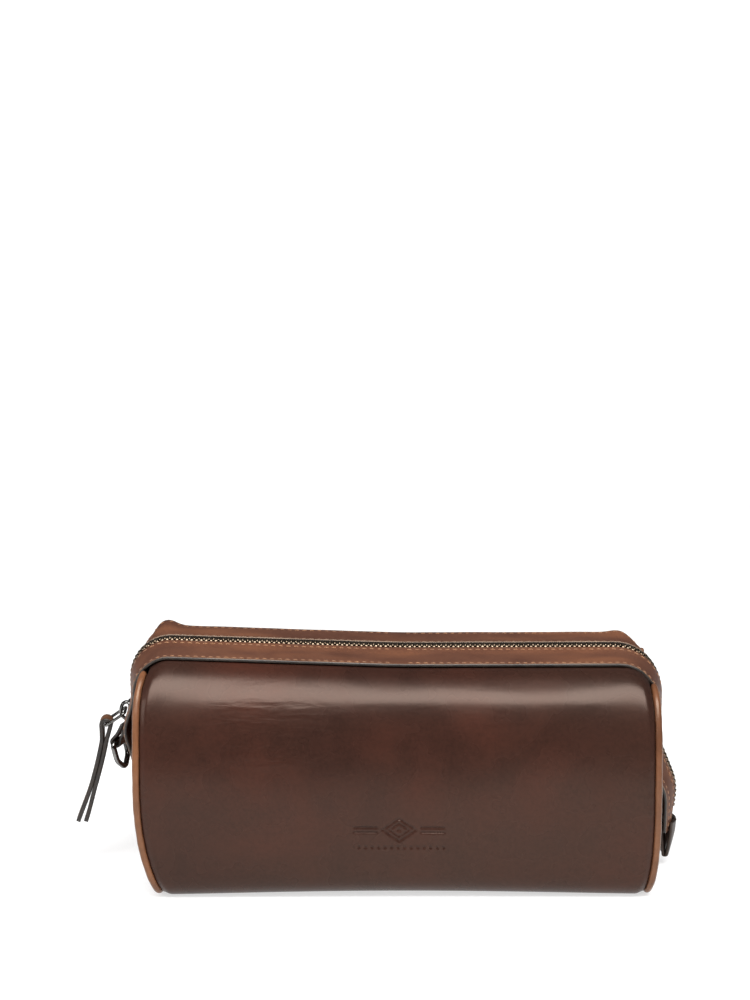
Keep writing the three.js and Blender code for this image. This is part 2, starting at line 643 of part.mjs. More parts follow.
// A leather beak folded over the tail's tip, with the band's end between its two leaves.
function buildTailTab() {
  const leaf = 1.6;
  const start = BAND_END - TAB_LENGTH;
  const outside = [GAP + LEATHER + GAP + leaf / 2, 1.4];
  const inside = [-TAPE.thickness - GAP - leaf / 2, -0.6];
  const run = [0, 0.3, 0.6, 0.85];
  const side = ([open, closed]) => (share) =>
    new THREE.Vector2(start + share * TAB_LENGTH, mix(open, closed, smooth(share, 0.25, 1)));
  const fold = [[0.96, 1.2], [1, 0.4], [0.96, -0.4]].map(
    ([share, n]) => new THREE.Vector2(start + share * TAB_LENGTH, n),
  );
  const spine = [...run.map(side(outside)), ...fold, ...[...run].reverse().map(side(inside))];
  const halfWidth = (s) => mix(12.5, 7.5, THREE.MathUtils.clamp((s - start) / TAB_LENGTH, 0, 1) ** 1.6);
  const across = [-1, -0.7, -0.4, 0.4, 0.7, 1];
  const tab = sheet(spine.length, across.length, (layer, i, j) => {
    const before = spine[Math.max(0, i - 1)];
    const after = spine[Math.min(spine.length - 1, i + 1)];
    const along = after.clone().sub(before).normalize();
    const off = ((layer ? -1 : 1) * leaf) / 2;
    const s = spine[i].x - along.y * off;
    return bandPoint(s, across[j] * halfWidth(spine[i].x), spine[i].y + along.x * off);
  });
  add("tail_tab", tab, MATERIAL.edgePaint);
}

buildBody();
buildZipBand();
buildSlider();
buildLink();
buildPull();
buildRing();
buildRingLoop();
buildStops();
buildTailTab();

export default bag;
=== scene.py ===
# Leather wash bag with a zip over its whole length. Lengths are in mm until a mesh is made.
import math

import bmesh
import bpy
import numpy as np
from mathutils import Matrix, Vector


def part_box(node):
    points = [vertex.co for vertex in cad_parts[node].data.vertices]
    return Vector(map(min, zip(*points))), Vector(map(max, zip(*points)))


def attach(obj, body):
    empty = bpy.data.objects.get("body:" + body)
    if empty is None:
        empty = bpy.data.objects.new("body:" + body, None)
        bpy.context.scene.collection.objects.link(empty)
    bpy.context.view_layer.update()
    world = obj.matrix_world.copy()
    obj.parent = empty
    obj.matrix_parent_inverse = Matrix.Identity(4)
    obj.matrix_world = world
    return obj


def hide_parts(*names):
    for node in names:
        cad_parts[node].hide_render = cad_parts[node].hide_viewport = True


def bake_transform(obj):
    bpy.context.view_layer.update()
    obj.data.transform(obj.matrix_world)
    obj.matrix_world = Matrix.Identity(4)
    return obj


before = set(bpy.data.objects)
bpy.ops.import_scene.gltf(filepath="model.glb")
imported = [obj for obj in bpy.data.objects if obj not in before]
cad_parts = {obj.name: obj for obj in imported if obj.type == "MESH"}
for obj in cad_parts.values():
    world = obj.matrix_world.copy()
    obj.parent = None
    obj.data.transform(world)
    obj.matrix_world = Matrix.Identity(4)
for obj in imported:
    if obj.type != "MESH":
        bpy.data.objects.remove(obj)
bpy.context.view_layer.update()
MM = 0.001

# ---------------------------------------------------------------- driving sizes
BAND_LEFT, BAND_RIGHT = -132.6, 132.2
TOP_HALF_WIDTH, TOP_HEIGHT = 31.0, 115.0
STRIP_INNER, LEATHER = 5.0, 1.6
# Each piped seam, left and right: how far out, at what height, draw at the foot and its power,
# draw at the head.
SEAMS = ((128.7, 70.0, 12.0, 3.0, 6.5), (127.9, 58.0, 5.0, 4.0, 5.0))
PIPING_R, PIPING_INSET = 1.75, 2.2
TOOTH_PITCH = 2.44
TAB_LENGTH = 20.0
STITCH_PITCH = 3.8
BAND_FOOT_Z = 61.0  # where the zip band starts on the left end
SLIDER_Z, SLIDER_LENGTH = 81.5, 11.0
END_SLOT_HALF, END_SLOT_FOOT = 3.6, 66.0  # the opening behind the zip in each end
ORNAMENT = (0.4, 35.0, 0.6)  # the pressed mark's middle, x and z, and its depth


def lerp(a, b, f):
    return a + (b - a) * f


def smooth(x, a, b):
    f = np.clip((np.asarray(x, float) - a) / (b - a), 0, 1)
    return f * f * (3 - 2 * f)


# ---------------------------------------------------------------- the zip band's middle line
def rounded_path(corners, step=0.8):
    pts = [np.array(corners[0][:2], float)]
    for i in range(1, len(corners) - 1):
        c = np.array(corners[i][:2], float)
        a = np.array(corners[i - 1][:2], float) - c
        b = np.array(corners[i + 1][:2], float) - c
        a, b = a / np.linalg.norm(a), b / np.linalg.norm(b)
        half = math.acos(max(-1, min(1, a @ b))) / 2
        r = corners[i][2]
        inward = (a + b) / np.linalg.norm(a + b)
        centre = c + inward * r / math.sin(half)
        start = c + a * r / math.tan(half) - centre
        turn = math.pi - 2 * half
        way = -np.sign(a[0] * b[1] - a[1] * b[0])
        k = max(3, int(r * turn / step))
        for j in range(k + 1):
            w = way * turn * j / k
            rot = np.array([[math.cos(w), -math.sin(w)], [math.sin(w), math.cos(w)]])
            pts.append(centre + rot @ start)
    pts.append(np.array(corners[-1][:2], float))
    return np.array(pts)


def resample(pts, step):
    pts = np.asarray(pts, float)
    d = np.r_[0, np.cumsum(np.linalg.norm(np.diff(pts, axis=0), axis=1))]
    n = max(2, int(round(d[-1] / step)) + 1)
    s = np.linspace(0, d[-1], n)
    return np.stack([np.interp(s, d, pts[:, k]) for k in range(pts.shape[1])], 1)


BAND = resample(
    rounded_path(
        [
            [BAND_LEFT, BAND_FOOT_Z],
            [BAND_LEFT, TOP_HEIGHT + 4, 19],
            [0, TOP_HEIGHT - 0.6, 900],
            [BAND_RIGHT, TOP_HEIGHT - 0.3, 22.5],
            [BAND_RIGHT, 65.4, 20],
            [141.2, 43.5, 26],
            [137.2, 4.6],
        ]
    ),
    0.5,
)
BAND_S = np.r_[0, np.cumsum(np.linalg.norm(np.diff(BAND, axis=0), axis=1))]
BAND_END = BAND_S[-1]
_tan = np.gradient(BAND, axis=0)
_ang = np.unwrap(np.arctan2(_tan[:, 1], _tan[:, 0]))
_ker = np.ones(9) / 9
_ang = np.convolve(np.pad(_ang, 4, mode="edge"), _ker, "valid")


def s_where(test):
    """The first place along the band where a test of x and z holds."""
    return float(BAND_S[np.argmax(test(BAND[:, 0], BAND[:, 1]))])


S_FLAP0 = s_where(lambda x, z: (x > -112) & (z > 100))
S_MID = s_where(lambda x, z: x > 0)
S_FLAP1 = s_where(lambda x, z: x > 112)
S_TAIL = s_where(lambda x, z: (x > 100) & (z < 69.4))


def crown(s, t):
    """How far the strips fall away from the zip line, at a distance t to its side."""
    top = smooth(s, S_FLAP0 - 22, S_FLAP0) * (1 - smooth(s, S_FLAP1, S_FLAP1 + 22))
    tail = smooth(s, S_TAIL - 6, S_TAIL + 18)
    near_k = lerp(lerp(0.16, 0.25, top), np.where(np.asarray(t) < 0, 0.48, 0.34), tail)
    far_k = lerp(lerp(0.12, 0.0175, top), np.where(np.asarray(t) < 0, 0.62, 0.34), tail)
    out = 0
    for d in (-1.2, -0.4, 0.4, 1.2):
        a = np.abs(t) + d
        out = out + near_k * np.clip(a - 3.3, 0, 7.7) + far_k * np.clip(a - 11, 0, None)
    return out / 4


def band(s, t, n):
    """A point s along the zip band, t to its side and n above the tape."""
    s, t, n = np.broadcast_arrays(
        np.asarray(s, float), np.asarray(t, float), np.asarray(n, float)
    )
    x, z = np.interp(s, BAND_S, BAND[:, 0]), np.interp(s, BAND_S, BAND[:, 1])
    a = np.interp(s, BAND_S, _ang)
    rise = n - crown(s, t)
    return np.stack([x - np.sin(a) * rise, t, z + np.cos(a) * rise], -1)


def proud(s):
    """How far the teeth stand above the tape's usual height: most on the corners and the tail."""
    corner = 0.35 * np.exp(-(((s - 48) / 12.0) ** 2))
    return 0.45 * smooth(s, 28, 34) + corner + 0.3 * smooth(s, S_TAIL - 20, S_TAIL)


def foot_flare(s, t):
    """The strips stand off the left end on both sides of the slider."""
    return 4.6 * np.exp(-(((s - 16) / 12.0) ** 2)) * smooth(t, 8, 19)


def corner_lift(s, t):
    """How far the back strip's outer edge curls up beside each top corner."""
    left = np.exp(-(((s - S_FLAP0 + 6) / 6.0) ** 2))
    right = np.exp(-(((s - S_FLAP1 - 3) / 6.0) ** 2))
    return (3.4 * left + 1.3 * right) * smooth(t, 14, 31)


def half_width(s):
    """From the zip line to a strip's outer edge."""
    s = np.asarray(s, float)
    left = lerp(22, TOP_HALF_WIDTH, smooth(s, 0, S_FLAP0))
    right = lerp(TOP_HALF_WIDTH, 20, smooth(s, S_FLAP1 + 14, S_TAIL))
    right = lerp(right, 11, smooth(s, S_TAIL, BAND_END - 6))
    return np.where(s < (S_FLAP0 + S_FLAP1) / 2, left, right)


_edge = band(np.arange(15, BAND_END - 60, 0.5), TOP_HALF_WIDTH, -0.3)
_edge = _edge[np.argsort(_edge[:, 0])]


def edge_rest(x):
    """The height at which the strips' outer edges lie over the body."""
    return np.interp(x, _edge[:, 0], _edge[:, 2])


# ---------------------------------------------------------------- the body's cross-section
def bezier(p, u):
    u = u[:, None]
    p = np.array(p, float)
    return (
        p[0] * (1 - u) ** 3
        + 3 * p[1] * u * (1 - u) ** 2
        + 3 * p[2] * u * u * (1 - u)
        + p[3] * u**3
    )


def half_outline(x, inset, margin, wall_u, base_n=10, corner_n=12):
    """Half of the body's cross-section, from the base's middle out and up to under a strip."""
    top = float(edge_rest(x))
    base = np.stack([np.linspace(0, 43, base_n, endpoint=False), np.zeros(base_n)], 1)
    corner = bezier([(43, 0), (52, 0), (56, 5), (57, 14)], np.linspace(0, 1, corner_n, endpoint=False))
    wall = bezier([(57, 14), (59.5, 60), (55.5, 103.5), (31.5, top)], wall_u)
    parts = [base, corner, wall]
    if margin:
        parts.append(np.array([[29.2, top + 0.1], [27, top + 0.1], [25, top + 0.1]]))
    line = np.concatenate(parts)
    along = np.gradient(line, axis=0)
    along /= np.linalg.norm(along, axis=1)[:, None]
    out = line - np.stack([along[:, 1], -along[:, 0]], 1) * inset
    out[0, 0] = 0
    return out


def seam_x(z, side):
    """How far out a piped seam runs at a height."""
    x, height, foot, power, head = SEAMS[0 if side < 0 else 1]
    z = np.asarray(z, float)
    below = np.clip((height - z) / height, 0, None)
    above = np.clip((z - height) / (TOP_HEIGHT - height), 0, None)
    return x - foot * below**power - head * above**6


END_TOP = {side: float(seam_x(TOP_HEIGHT, side)) for side in (-1, 1)}


# ---------------------------------------------------------------- mesh helpers
def make(name, verts, faces, mats, index=None, smooth_faces=True):
    me = bpy.data.meshes.new(name)
    me.from_pydata((np.asarray(verts, float) * MM).tolist(), [], [tuple(map(int, f)) for f in faces])
    for m in mats:
        me.materials.append(m)
    if index is not None:
        me.polygons.foreach_set("material_index", np.asarray(index, np.int32))
    me.polygons.foreach_set("use_smooth", np.full(len(me.polygons), smooth_faces))
    me.update()
    ob = bpy.data.objects.new(name, me)
    bpy.context.scene.collection.objects.link(ob)
    return ob


def shell(outer, inner, keep=None):
    """Faces and points of a thin solid between two facing grids; keep leaves out cells."""
    rows, cols = outer.shape[:2]
    keep = np.ones((rows - 1, cols - 1), bool) if keep is None else keep
    n = rows * cols
    verts = np.concatenate([outer.reshape(-1, 3), inner.reshape(-1, 3)])
    faces, walls = [], []
    idx = np.arange(n).reshape(rows, cols)
    for i in range(rows - 1):
        for j in range(cols - 1):
            if not keep[i, j]:
                continue
            a, b, c, d = idx[i, j], idx[i, j + 1], idx[i + 1, j + 1], idx[i + 1, j]
            faces.append((a, b, c, d))
            faces.append((a + n, d + n, c + n, b + n))
            for di, dj, p, q in ((-1, 0, a, b), (0, 1, b, c), (1, 0, c, d), (0, -1, d, a)):
                ii, jj = i + di, j + dj
                if not (0 <= ii < rows - 1 and 0 <= jj < cols - 1 and keep[ii, jj]):
                    walls.append((q, p, p + n, q + n))
    return verts, faces + walls


def outward(verts, faces):
    """Turns all faces round if the solid is inside out."""
    v = np.asarray(verts, float)
    total = 0.0
    for f in faces:
        for k in range(1, len(f) - 1):
            total += float(np.dot(v[f[0]], np.cross(v[f[k]], v[f[k + 1]])))
    return faces if total > 0 else [tuple(reversed(f)) for f in faces]


def loops(rings, closed=False, caps=True):
    """A tube of rings (rows, sides, 3). Returns points and faces; caps come last."""
    rings = np.asarray(rings, float)
    r, c = rings.shape[:2]
    faces = []
    for i in range(r if closed else r - 1):
        a, b = i * c, ((i + 1) % r) * c
        for k in range(c):
            q = (k + 1) % c
            faces.append((a + k, b + k, b + q, a + q))
    if not closed and caps:
        faces.append(tuple(range(c)))
        faces.append(tuple(reversed(range((r - 1) * c, r * c))))
    return rings.reshape(-1, 3), faces


def tube(points, radius, sides=16, closed=False, flat=(1.0, 1.0), side_dir=None):
    """A round or flattened tube along a path."""
    p = np.asarray(points, float)
    if closed:
        tan = np.roll(p, -1, 0) - np.roll(p, 1, 0)
    else:
        tan = np.gradient(p, axis=0)
    tan /= np.linalg.norm(tan, axis=1)[:, None]
    radius = np.broadcast_to(radius, len(p))
    if side_dir is not None:
        u = np.cross(tan, np.asarray(side_dir, float))
        u /= np.linalg.norm(u, axis=1)[:, None]
    else:
        u = np.zeros_like(p)
        v0 = np.cross(tan[0], [0.3, 0.2, 1.0])
        u[0] = v0 / np.linalg.norm(v0)
        for i in range(1, len(p)):
            w = u[i - 1] - tan[i] * (u[i - 1] @ tan[i])
            u[i] = w / np.linalg.norm(w)
    v = np.cross(tan, u)
    ang = np.linspace(0, 2 * np.pi, sides, endpoint=False)
    rings = (
        p[:, None]
        + u[:, None] * (np.cos(ang) * flat[0])[None, :, None] * radius[:, None, None]
        + v[:, None] * (np.sin(ang) * flat[1])[None, :, None] * radius[:, None, None]
    )
    return loops(rings, closed)


def join(parts):
    verts, faces, off = [], [], 0
    for v, f in parts:
        verts.append(np.asarray(v, float))
        faces += [tuple(i + off for i in q) for q in f]
        off += len(v)
    return np.concatenate(verts), faces


def round_rect(width, thick, r, n=4):
    """A rounded rectangle's points, width along the first axis, from its top side round."""
    pts = []
    for cx, cy, a0 in ((1, 1, 0), (-1, 1, 90), (-1, -1, 180), (1, -1, 270)):
        for k in range(n + 1):
            a = math.radians(a0 + 90 * k / n)
            pts.append((cx * (width / 2 - r) + r * math.cos(a), cy * (thick / 2 - r) + r * math.sin(a)))
    return np.array(pts)


def place(ob, body, slot, *nodes):
    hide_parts(*nodes)
    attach(ob, body)


# ---------------------------------------------------------------- materials
def nodes_of(name):
    m = bpy.data.materials.new(name)
    m.use_nodes = True
    nt = m.node_tree
    nt.nodes.clear()
    out = nt.nodes.new("ShaderNodeOutputMaterial")
    bsdf = nt.nodes.new("ShaderNodeBsdfPrincipled")
    nt.links.new(bsdf.outputs[0], out.inputs[0])
    return m, nt, bsdf


def coords(nt, scale=(1, 1, 1)):
    tc = nt.nodes.new("ShaderNodeTexCoord")
    mp = nt.nodes.new("ShaderNodeMapping")
    mp.inputs["Scale"].default_value = scale
    nt.links.new(tc.outputs["Object"], mp.inputs[0])
    return mp.outputs[0]


def noise(nt, vec, scale, detail=4.0, rough=0.55, distort=0.0):
    n = nt.nodes.new("ShaderNodeTexNoise")
    n.inputs["Scale"].default_value = scale
    n.inputs["Detail"].default_value = detail
    n.inputs["Roughness"].default_value = rough
    n.inputs["Distortion"].default_value = distort
    nt.links.new(vec, n.inputs["Vector"])
    return n.outputs["Fac"]


def ramp(nt, fac, stops):
    r = nt.nodes.new("ShaderNodeValToRGB")
    r.color_ramp.interpolation = "EASE" if len(stops) == 2 else "B_SPLINE"
    els = r.color_ramp.elements
    for k, (pos, col) in enumerate(stops):
        e = els[k] if k < 2 else els.new(pos)
        e.position = pos
        e.color = (*col, 1) if not isinstance(col, (int, float)) else (col, col, col, 1)
    nt.links.new(fac, r.inputs[0])
    return r.outputs[0]


def mixc(nt, fac, a, b, mode="MIX"):
    m = nt.nodes.new("ShaderNodeMix")
    m.data_type = "RGBA"
    m.blend_type = mode
    for sock, val in ((m.inputs[0], fac), (m.inputs[6], a), (m.inputs[7], b)):
        if isinstance(val, (int, float)):
            sock.default_value = val
        elif isinstance(val, tuple):
            sock.default_value = (*val, 1)
        else:
            nt.links.new(val, sock)
    return m.outputs[2]


def mathn(nt, op, a, b=None, clamp=False):
    m = nt.nodes.new("ShaderNodeMath")
    m.operation = op
    m.use_clamp = clamp
    for sock, val in ((m.inputs[0], a), (m.inputs[1], b)):
        if val is None:
            continue
        if isinstance(val, (int, float)):
            sock.default_value = val
        else:
            nt.links.new(val, sock)
    return m.outputs[0]


def bump(nt, bsdf, height, strength, distance, normal=None):
    b = nt.nodes.new("ShaderNodeBump")
    b.inputs["Strength"].default_value = strength
    b.inputs["Distance"].default_value = distance
    nt.links.new(height, b.inputs["Height"])
    if normal is not None:
        nt.links.new(normal, b.inputs["Normal"])
    nt.links.new(b.outputs[0], bsdf.inputs["Normal"])
    return b.outputs[0]


def lin(h):
    """A linear colour from its hex code."""
    out = []
    for k in (0, 2, 4):
        v = int(h[k : k + 2], 16) / 255
        out.append(v / 12.92 if v <= 0.04045 else ((v + 0.055) / 1.055) ** 2.4)
    return tuple(out)


def leather(name, dark, mid, light, rough=0.36, mottle=10.0, grain=0.10, spec=0.4,
            tint=(1.0, 0.76, 0.64), patch=None, worn=None, creases=None, speckle=0.14):
    """Waxed leather: three tones, fine speckle, pores and a slow unevenness."""
    m, nt, bsdf = nodes_of(name)
    vec = coords(nt)
    big = noise(nt, vec, mottle, 2, 0.5)
    small = noise(nt, vec, mottle * 4.5, 2, 0.5)
    tone = mathn(nt, "ADD", mathn(nt, "MULTIPLY", big, 0.68),
                 mathn(nt, "MULTIPLY", small, 0.32))
    col = ramp(nt, tone, [(0.18, dark), (0.50, mid), (0.84, light)])
    if patch:
        cloud = noise(nt, coords(nt, (0.8, 1, 1.2)), 8.5, 1, 0.45)
        where = ramp(nt, cloud, [(0.35, 0.0), (0.70, 0.6)])
        col = mixc(nt, where, col, patch)
    if worn:
        rub = noise(nt, coords(nt, (0.35, 1, 1)), 55, 2, 0.5)
        streak = ramp(nt, rub, [(0.40, 0.0), (0.80, 0.75)])
        col = mixc(nt, streak, col, worn)
    speck = ramp(nt, noise(nt, vec, 620, 3, 0.6), [(0.3, 1.0 - speckle), (0.65, 1.0)])
    col = mixc(nt, 1.0, col, speck, "MULTIPLY")
    nt.links.new(col, bsdf.inputs["Base Color"])
    r = mathn(nt, "ADD", mathn(nt, "MULTIPLY", small, 0.10), rough - 0.045)
    nt.links.new(r, bsdf.inputs["Roughness"])
    bsdf.inputs["Specular IOR Level"].default_value = spec
    bsdf.inputs["Specular Tint"].default_value = (*tint, 1)
    v = nt.nodes.new("ShaderNodeTexVoronoi")
    v.inputs["Scale"].default_value = 900
    nt.links.new(vec, v.inputs["Vector"])
    height = mathn(nt, "ADD", mathn(nt, "MULTIPLY", v.outputs["Distance"], 0.35),
                   mathn(nt, "MULTIPLY", noise(nt, vec, 330, 3, 0.5), 0.8))
    nrm = bump(nt, bsdf, height, grain, 0.0004)
    wave = noise(nt, coords(nt, (0.55, 1, 1)), 30, 2, 0.5)
    nrm = bump(nt, bsdf, wave, 0.16, 0.0012, nrm)
    if creases:
        creases(nt, bsdf, nrm)
    return m


def front_creases(nt, bsdf, nrm):
    """Fine pull lines in the upper left of the front, and faint ones further right."""
    vec = coords(nt)
    sep = nt.nodes.new("ShaderNodeSeparateXYZ")
    nt.links.new(vec, sep.inputs[0])

    def blob(cx, cz, rx, rz):
        dx = mathn(nt, "DIVIDE", mathn(nt, "SUBTRACT", sep.outputs["X"], cx), rx)
        dz = mathn(nt, "DIVIDE", mathn(nt, "SUBTRACT", sep.outputs["Z"], cz), rz)
        d = mathn(nt, "ADD", mathn(nt, "MULTIPLY", dx, dx), mathn(nt, "MULTIPLY", dz, dz))
        return mathn(nt, "SUBTRACT", 1.0, d, clamp=True)

    for turn, scale, spots, depth in (
        (-24, 230, ((-0.062, 0.088, 0.042, 0.022, 1.0), (0.0, 0.09, 0.03, 0.015, 0.35)), 0.30),
        (52, 150, ((0.045, 0.092, 0.028, 0.02, 0.8), (0.104, 0.09, 0.02, 0.02, 0.6)), 0.16),
    ):
        mp = nt.nodes.new("ShaderNodeMapping")
        mp.inputs["Rotation"].default_value = (0, math.radians(turn), 0)
        mp.inputs["Scale"].default_value = (0.24, 1, 1)
        nt.links.new(vec, mp.inputs[0])
        lines = noise(nt, mp.outputs[0], scale, 2, 0.5, 0.4)
        area = 0
        for cx, cz, rx, rz, k in spots:
            area = mathn(nt, "ADD", area, mathn(nt, "MULTIPLY", blob(cx, cz, rx, rz), k))
        nrm = bump(nt, bsdf, mathn(nt, "MULTIPLY", lines, area), depth, 0.0012, nrm)


M_BODY = leather("body_leather", lin("1f120f"), lin("2e1b15"), lin("472117"), rough=0.27, mottle=12,
                 grain=0.05, spec=0.3, speckle=0.2, patch=lin("281c17"), creases=front_creases)
# Painted highlight: a lighter grey on the upper rounded corner of each strip edge, standing in for light
# caught on the bevel.
M_BEVEL_HIGHLIGHT = leather("bevel_painted_highlight", lin("54453a"), lin("6d5a4b"), lin("83705e"),
                  rough=0.4, mottle=60, grain=0.05)
M_END = leather("end_leather", lin("38211a"), lin("4b2c21"), lin("5e3625"),
                rough=0.32, mottle=14, grain=0.08)
M_STRIP = leather("strip_leather", lin("3b241c"), lin("4d3025"), lin("61402f"),
                  rough=0.5, mottle=22, grain=0.12,
                  spec=0.16, worn=lin("6e4630"))
M_PIPE = leather("piping_leather", lin("452a1c"), lin("5f3c28"), lin("7a4f33"),
                 rough=0.29, mottle=34, grain=0.08,
                 spec=0.45, tint=(1.0, 0.85, 0.7))
M_PULL = leather("pull_leather", lin("3f291c"), lin("5a3c29"), lin("74492f"),
                 rough=0.42, mottle=40, grain=0.12)
M_TAB = leather("dark_leather", lin("1a1412"), lin("261e1a"), lin("352923"),
                rough=0.38, mottle=40, grain=0.12)


def edge_paint():
    m, nt, bsdf = nodes_of("edge_paint")
    vec = coords(nt)
    n = noise(nt, vec, 260, 4, 0.6)
    nt.links.new(ramp(nt, n, [(0.3, lin("15110f")), (0.7, lin("2a221c"))]), bsdf.inputs["Base Color"])
    nt.links.new(ramp(nt, n, [(0.3, 0.34), (0.7, 0.5)]), bsdf.inputs["Roughness"])
    bump(nt, bsdf, noise(nt, vec, 900, 2, 0.5), 0.15, 0.0002)
    return m


def thread(name, a, b):
    m, nt, bsdf = nodes_of(name)
    vec = coords(nt)
    w = nt.nodes.new("ShaderNodeTexWave")
    w.inputs["Scale"].default_value = 1300
    w.inputs["Distortion"].default_value = 1.5
    mp = nt.nodes.new("ShaderNodeMapping")
    mp.inputs["Rotation"].default_value = (0.4, 0.5, 0.6)
    nt.links.new(vec, mp.inputs[0])
    nt.links.new(mp.outputs[0], w.inputs["Vector"])
    f = mathn(nt, "MULTIPLY", w.outputs["Fac"], noise(nt, vec, 60, 2, 0.5))
    nt.links.new(ramp(nt, f, [(0.1, a), (0.55, b)]), bsdf.inputs["Base Color"])
    bsdf.inputs["Roughness"].default_value = 0.62
    bsdf.inputs["Sheen Weight"].default_value = 0.2
    bump(nt, bsdf, w.outputs["Fac"], 0.4, 0.0002)
    return m


def fabric(name, a, b, scale, rough=0.85, diagonal=False):
    m, nt, bsdf = nodes_of(name)
    tc = nt.nodes.new("ShaderNodeTexCoord")
    hs = []
    turns = ((0, 0, 0.785), (0, 0.785, 0.785)) if diagonal else ((0, 0, 0), (0, 1.571, 1.571))
    for rot in turns:
        w = nt.nodes.new("ShaderNodeTexWave")
        w.inputs["Scale"].default_value = scale
        w.inputs["Distortion"].default_value = 0.6
        mp = nt.nodes.new("ShaderNodeMapping")
        mp.inputs["Rotation"].default_value = rot
        nt.links.new(tc.outputs["Object"], mp.inputs[0])
        nt.links.new(mp.outputs[0], w.inputs["Vector"])
        hs.append(w.outputs["Fac"])
    h = mathn(nt, "MULTIPLY", hs[0], hs[1])
    tone = mathn(nt, "ADD", mathn(nt, "MULTIPLY", h, 0.6),
                 mathn(nt, "MULTIPLY", noise(nt, tc.outputs["Object"], 35, 4, 0.6), 0.5))
    nt.links.new(ramp(nt, tone, [(0.15, a), (0.75, b)]), bsdf.inputs["Base Color"])
    bsdf.inputs["Roughness"].default_value = rough
    bsdf.inputs["Sheen Weight"].default_value = 0.25
    bump(nt, bsdf, h, 0.5, 0.0003)
    return m


def metal(name, a, b, rough, grain=300):
    m, nt, bsdf = nodes_of(name)
    vec = coords(nt)
    n = noise(nt, vec, grain, 5, 0.65)
    nt.links.new(ramp(nt, n, [(0.3, a), (0.7, b)]), bsdf.inputs["Base Color"])
    nt.links.new(ramp(nt, n, [(0.3, rough - 0.06), (0.7, rough + 0.08)]), bsdf.inputs["Roughness"])
    bsdf.inputs["Metallic"].default_value = 1.0
    bump(nt, bsdf, n, 0.06, 0.0002)
    return m


M_EDGE = edge_paint()
M_THREAD = thread("stitch_thread", lin("5f3d26"), lin("98683f"))
# Painted shade: a darker copy of the same thread, used only for the back strip's inner row beside the zip.
M_THREAD_SHADED = thread("stitch_thread_painted_shade", lin("4a3122"), lin("7d5b42"))
M_TAPE = fabric("zip_tape_weave", lin("1a110d"), lin("40291f"), 420)
M_LINING = fabric("lining_cloth", lin("241d19"), lin("4a3f36"), 300, diagonal=True)
M_BOARD = fabric("board_fibre", lin("6d5f4b"), lin("9a8a70"), 120)
M_TEETH = metal("zip_teeth_metal", lin("5f5042"), lin("93816d"), 0.34)
M_METAL = metal("gunmetal", lin("555453"), lin("8b8986"), 0.17)


# ---------------------------------------------------------------- body, ends, lining, piping
def ornament(x, z):
    """Depth of a plain pressed mark, 0 to 1: a lozenge, two pairs of rules and a row of dots."""
    u, v = x - ORNAMENT[0], z - ORNAMENT[1]
    d = np.zeros_like(u)

    def stroke(dist, w=0.55):
        return 1 - smooth(np.abs(dist), w * 0.55, w * 1.25)

    loz = np.abs(u) / 8.0 + np.abs(v - 2.5) / 5.6
    scale = 4.6
    d = np.maximum(d, stroke((loz - 1) * scale, 0.6))
    d = np.maximum(d, stroke((loz - 0.62) * scale, 0.45))
    d = np.maximum(d, 1 - smooth(np.hypot(u, v - 2.5), 0.7, 1.3))
    for vv, a, b in ((3.7, 10.5, 22.5), (1.3, 10.5, 22.5)):
        run = smooth(np.abs(u), a - 0.3, a + 0.3)
        run = run * (1 - smooth(np.abs(u), b - 0.3, b + 0.3))
        d = np.maximum(d, stroke(v - vv, 0.5) * run)
    dots = np.hypot((u + 50) % 3.2 - 1.6, v + 6.4)
    d = np.maximum(d, (1 - smooth(dots, 0.5, 1.05)) * (np.abs(u) < 22.6))
    return d


def body_lines(x, inset, wall_front, wall_back):
    """The whole cross-section, from the back's top edge under the base to the front's."""
    front = half_outline(x, inset, True, wall_front)
    back = half_outline(x, inset, True, wall_back)
    return np.concatenate([back[::-1], front[1:] * [-1, 1]])


WALL_FRONT = np.unique(np.r_[np.linspace(0, 1, 44), np.linspace(0.07, 0.30, 52)])
WALL_BACK = np.linspace(0, 1, 44)


def stations(dense=True):
    """Places along the bag as shares of the half length, closer at the ends and at the mark."""
    xs = np.r_[np.linspace(-1, -0.915, 14), np.linspace(-0.9, 0.9, 92), np.linspace(0.915, 1, 14)]
    if dense:
        xs = np.r_[xs, np.linspace(-0.18, 0.235, 104)]
    xs = np.unique(np.round(xs, 5))
    keep = [xs[0]]
    for v in xs[1:]:
        if v - keep[-1] > 0.0025:
            keep.append(v)
    keep[-1] = 1.0
    return np.array(keep)


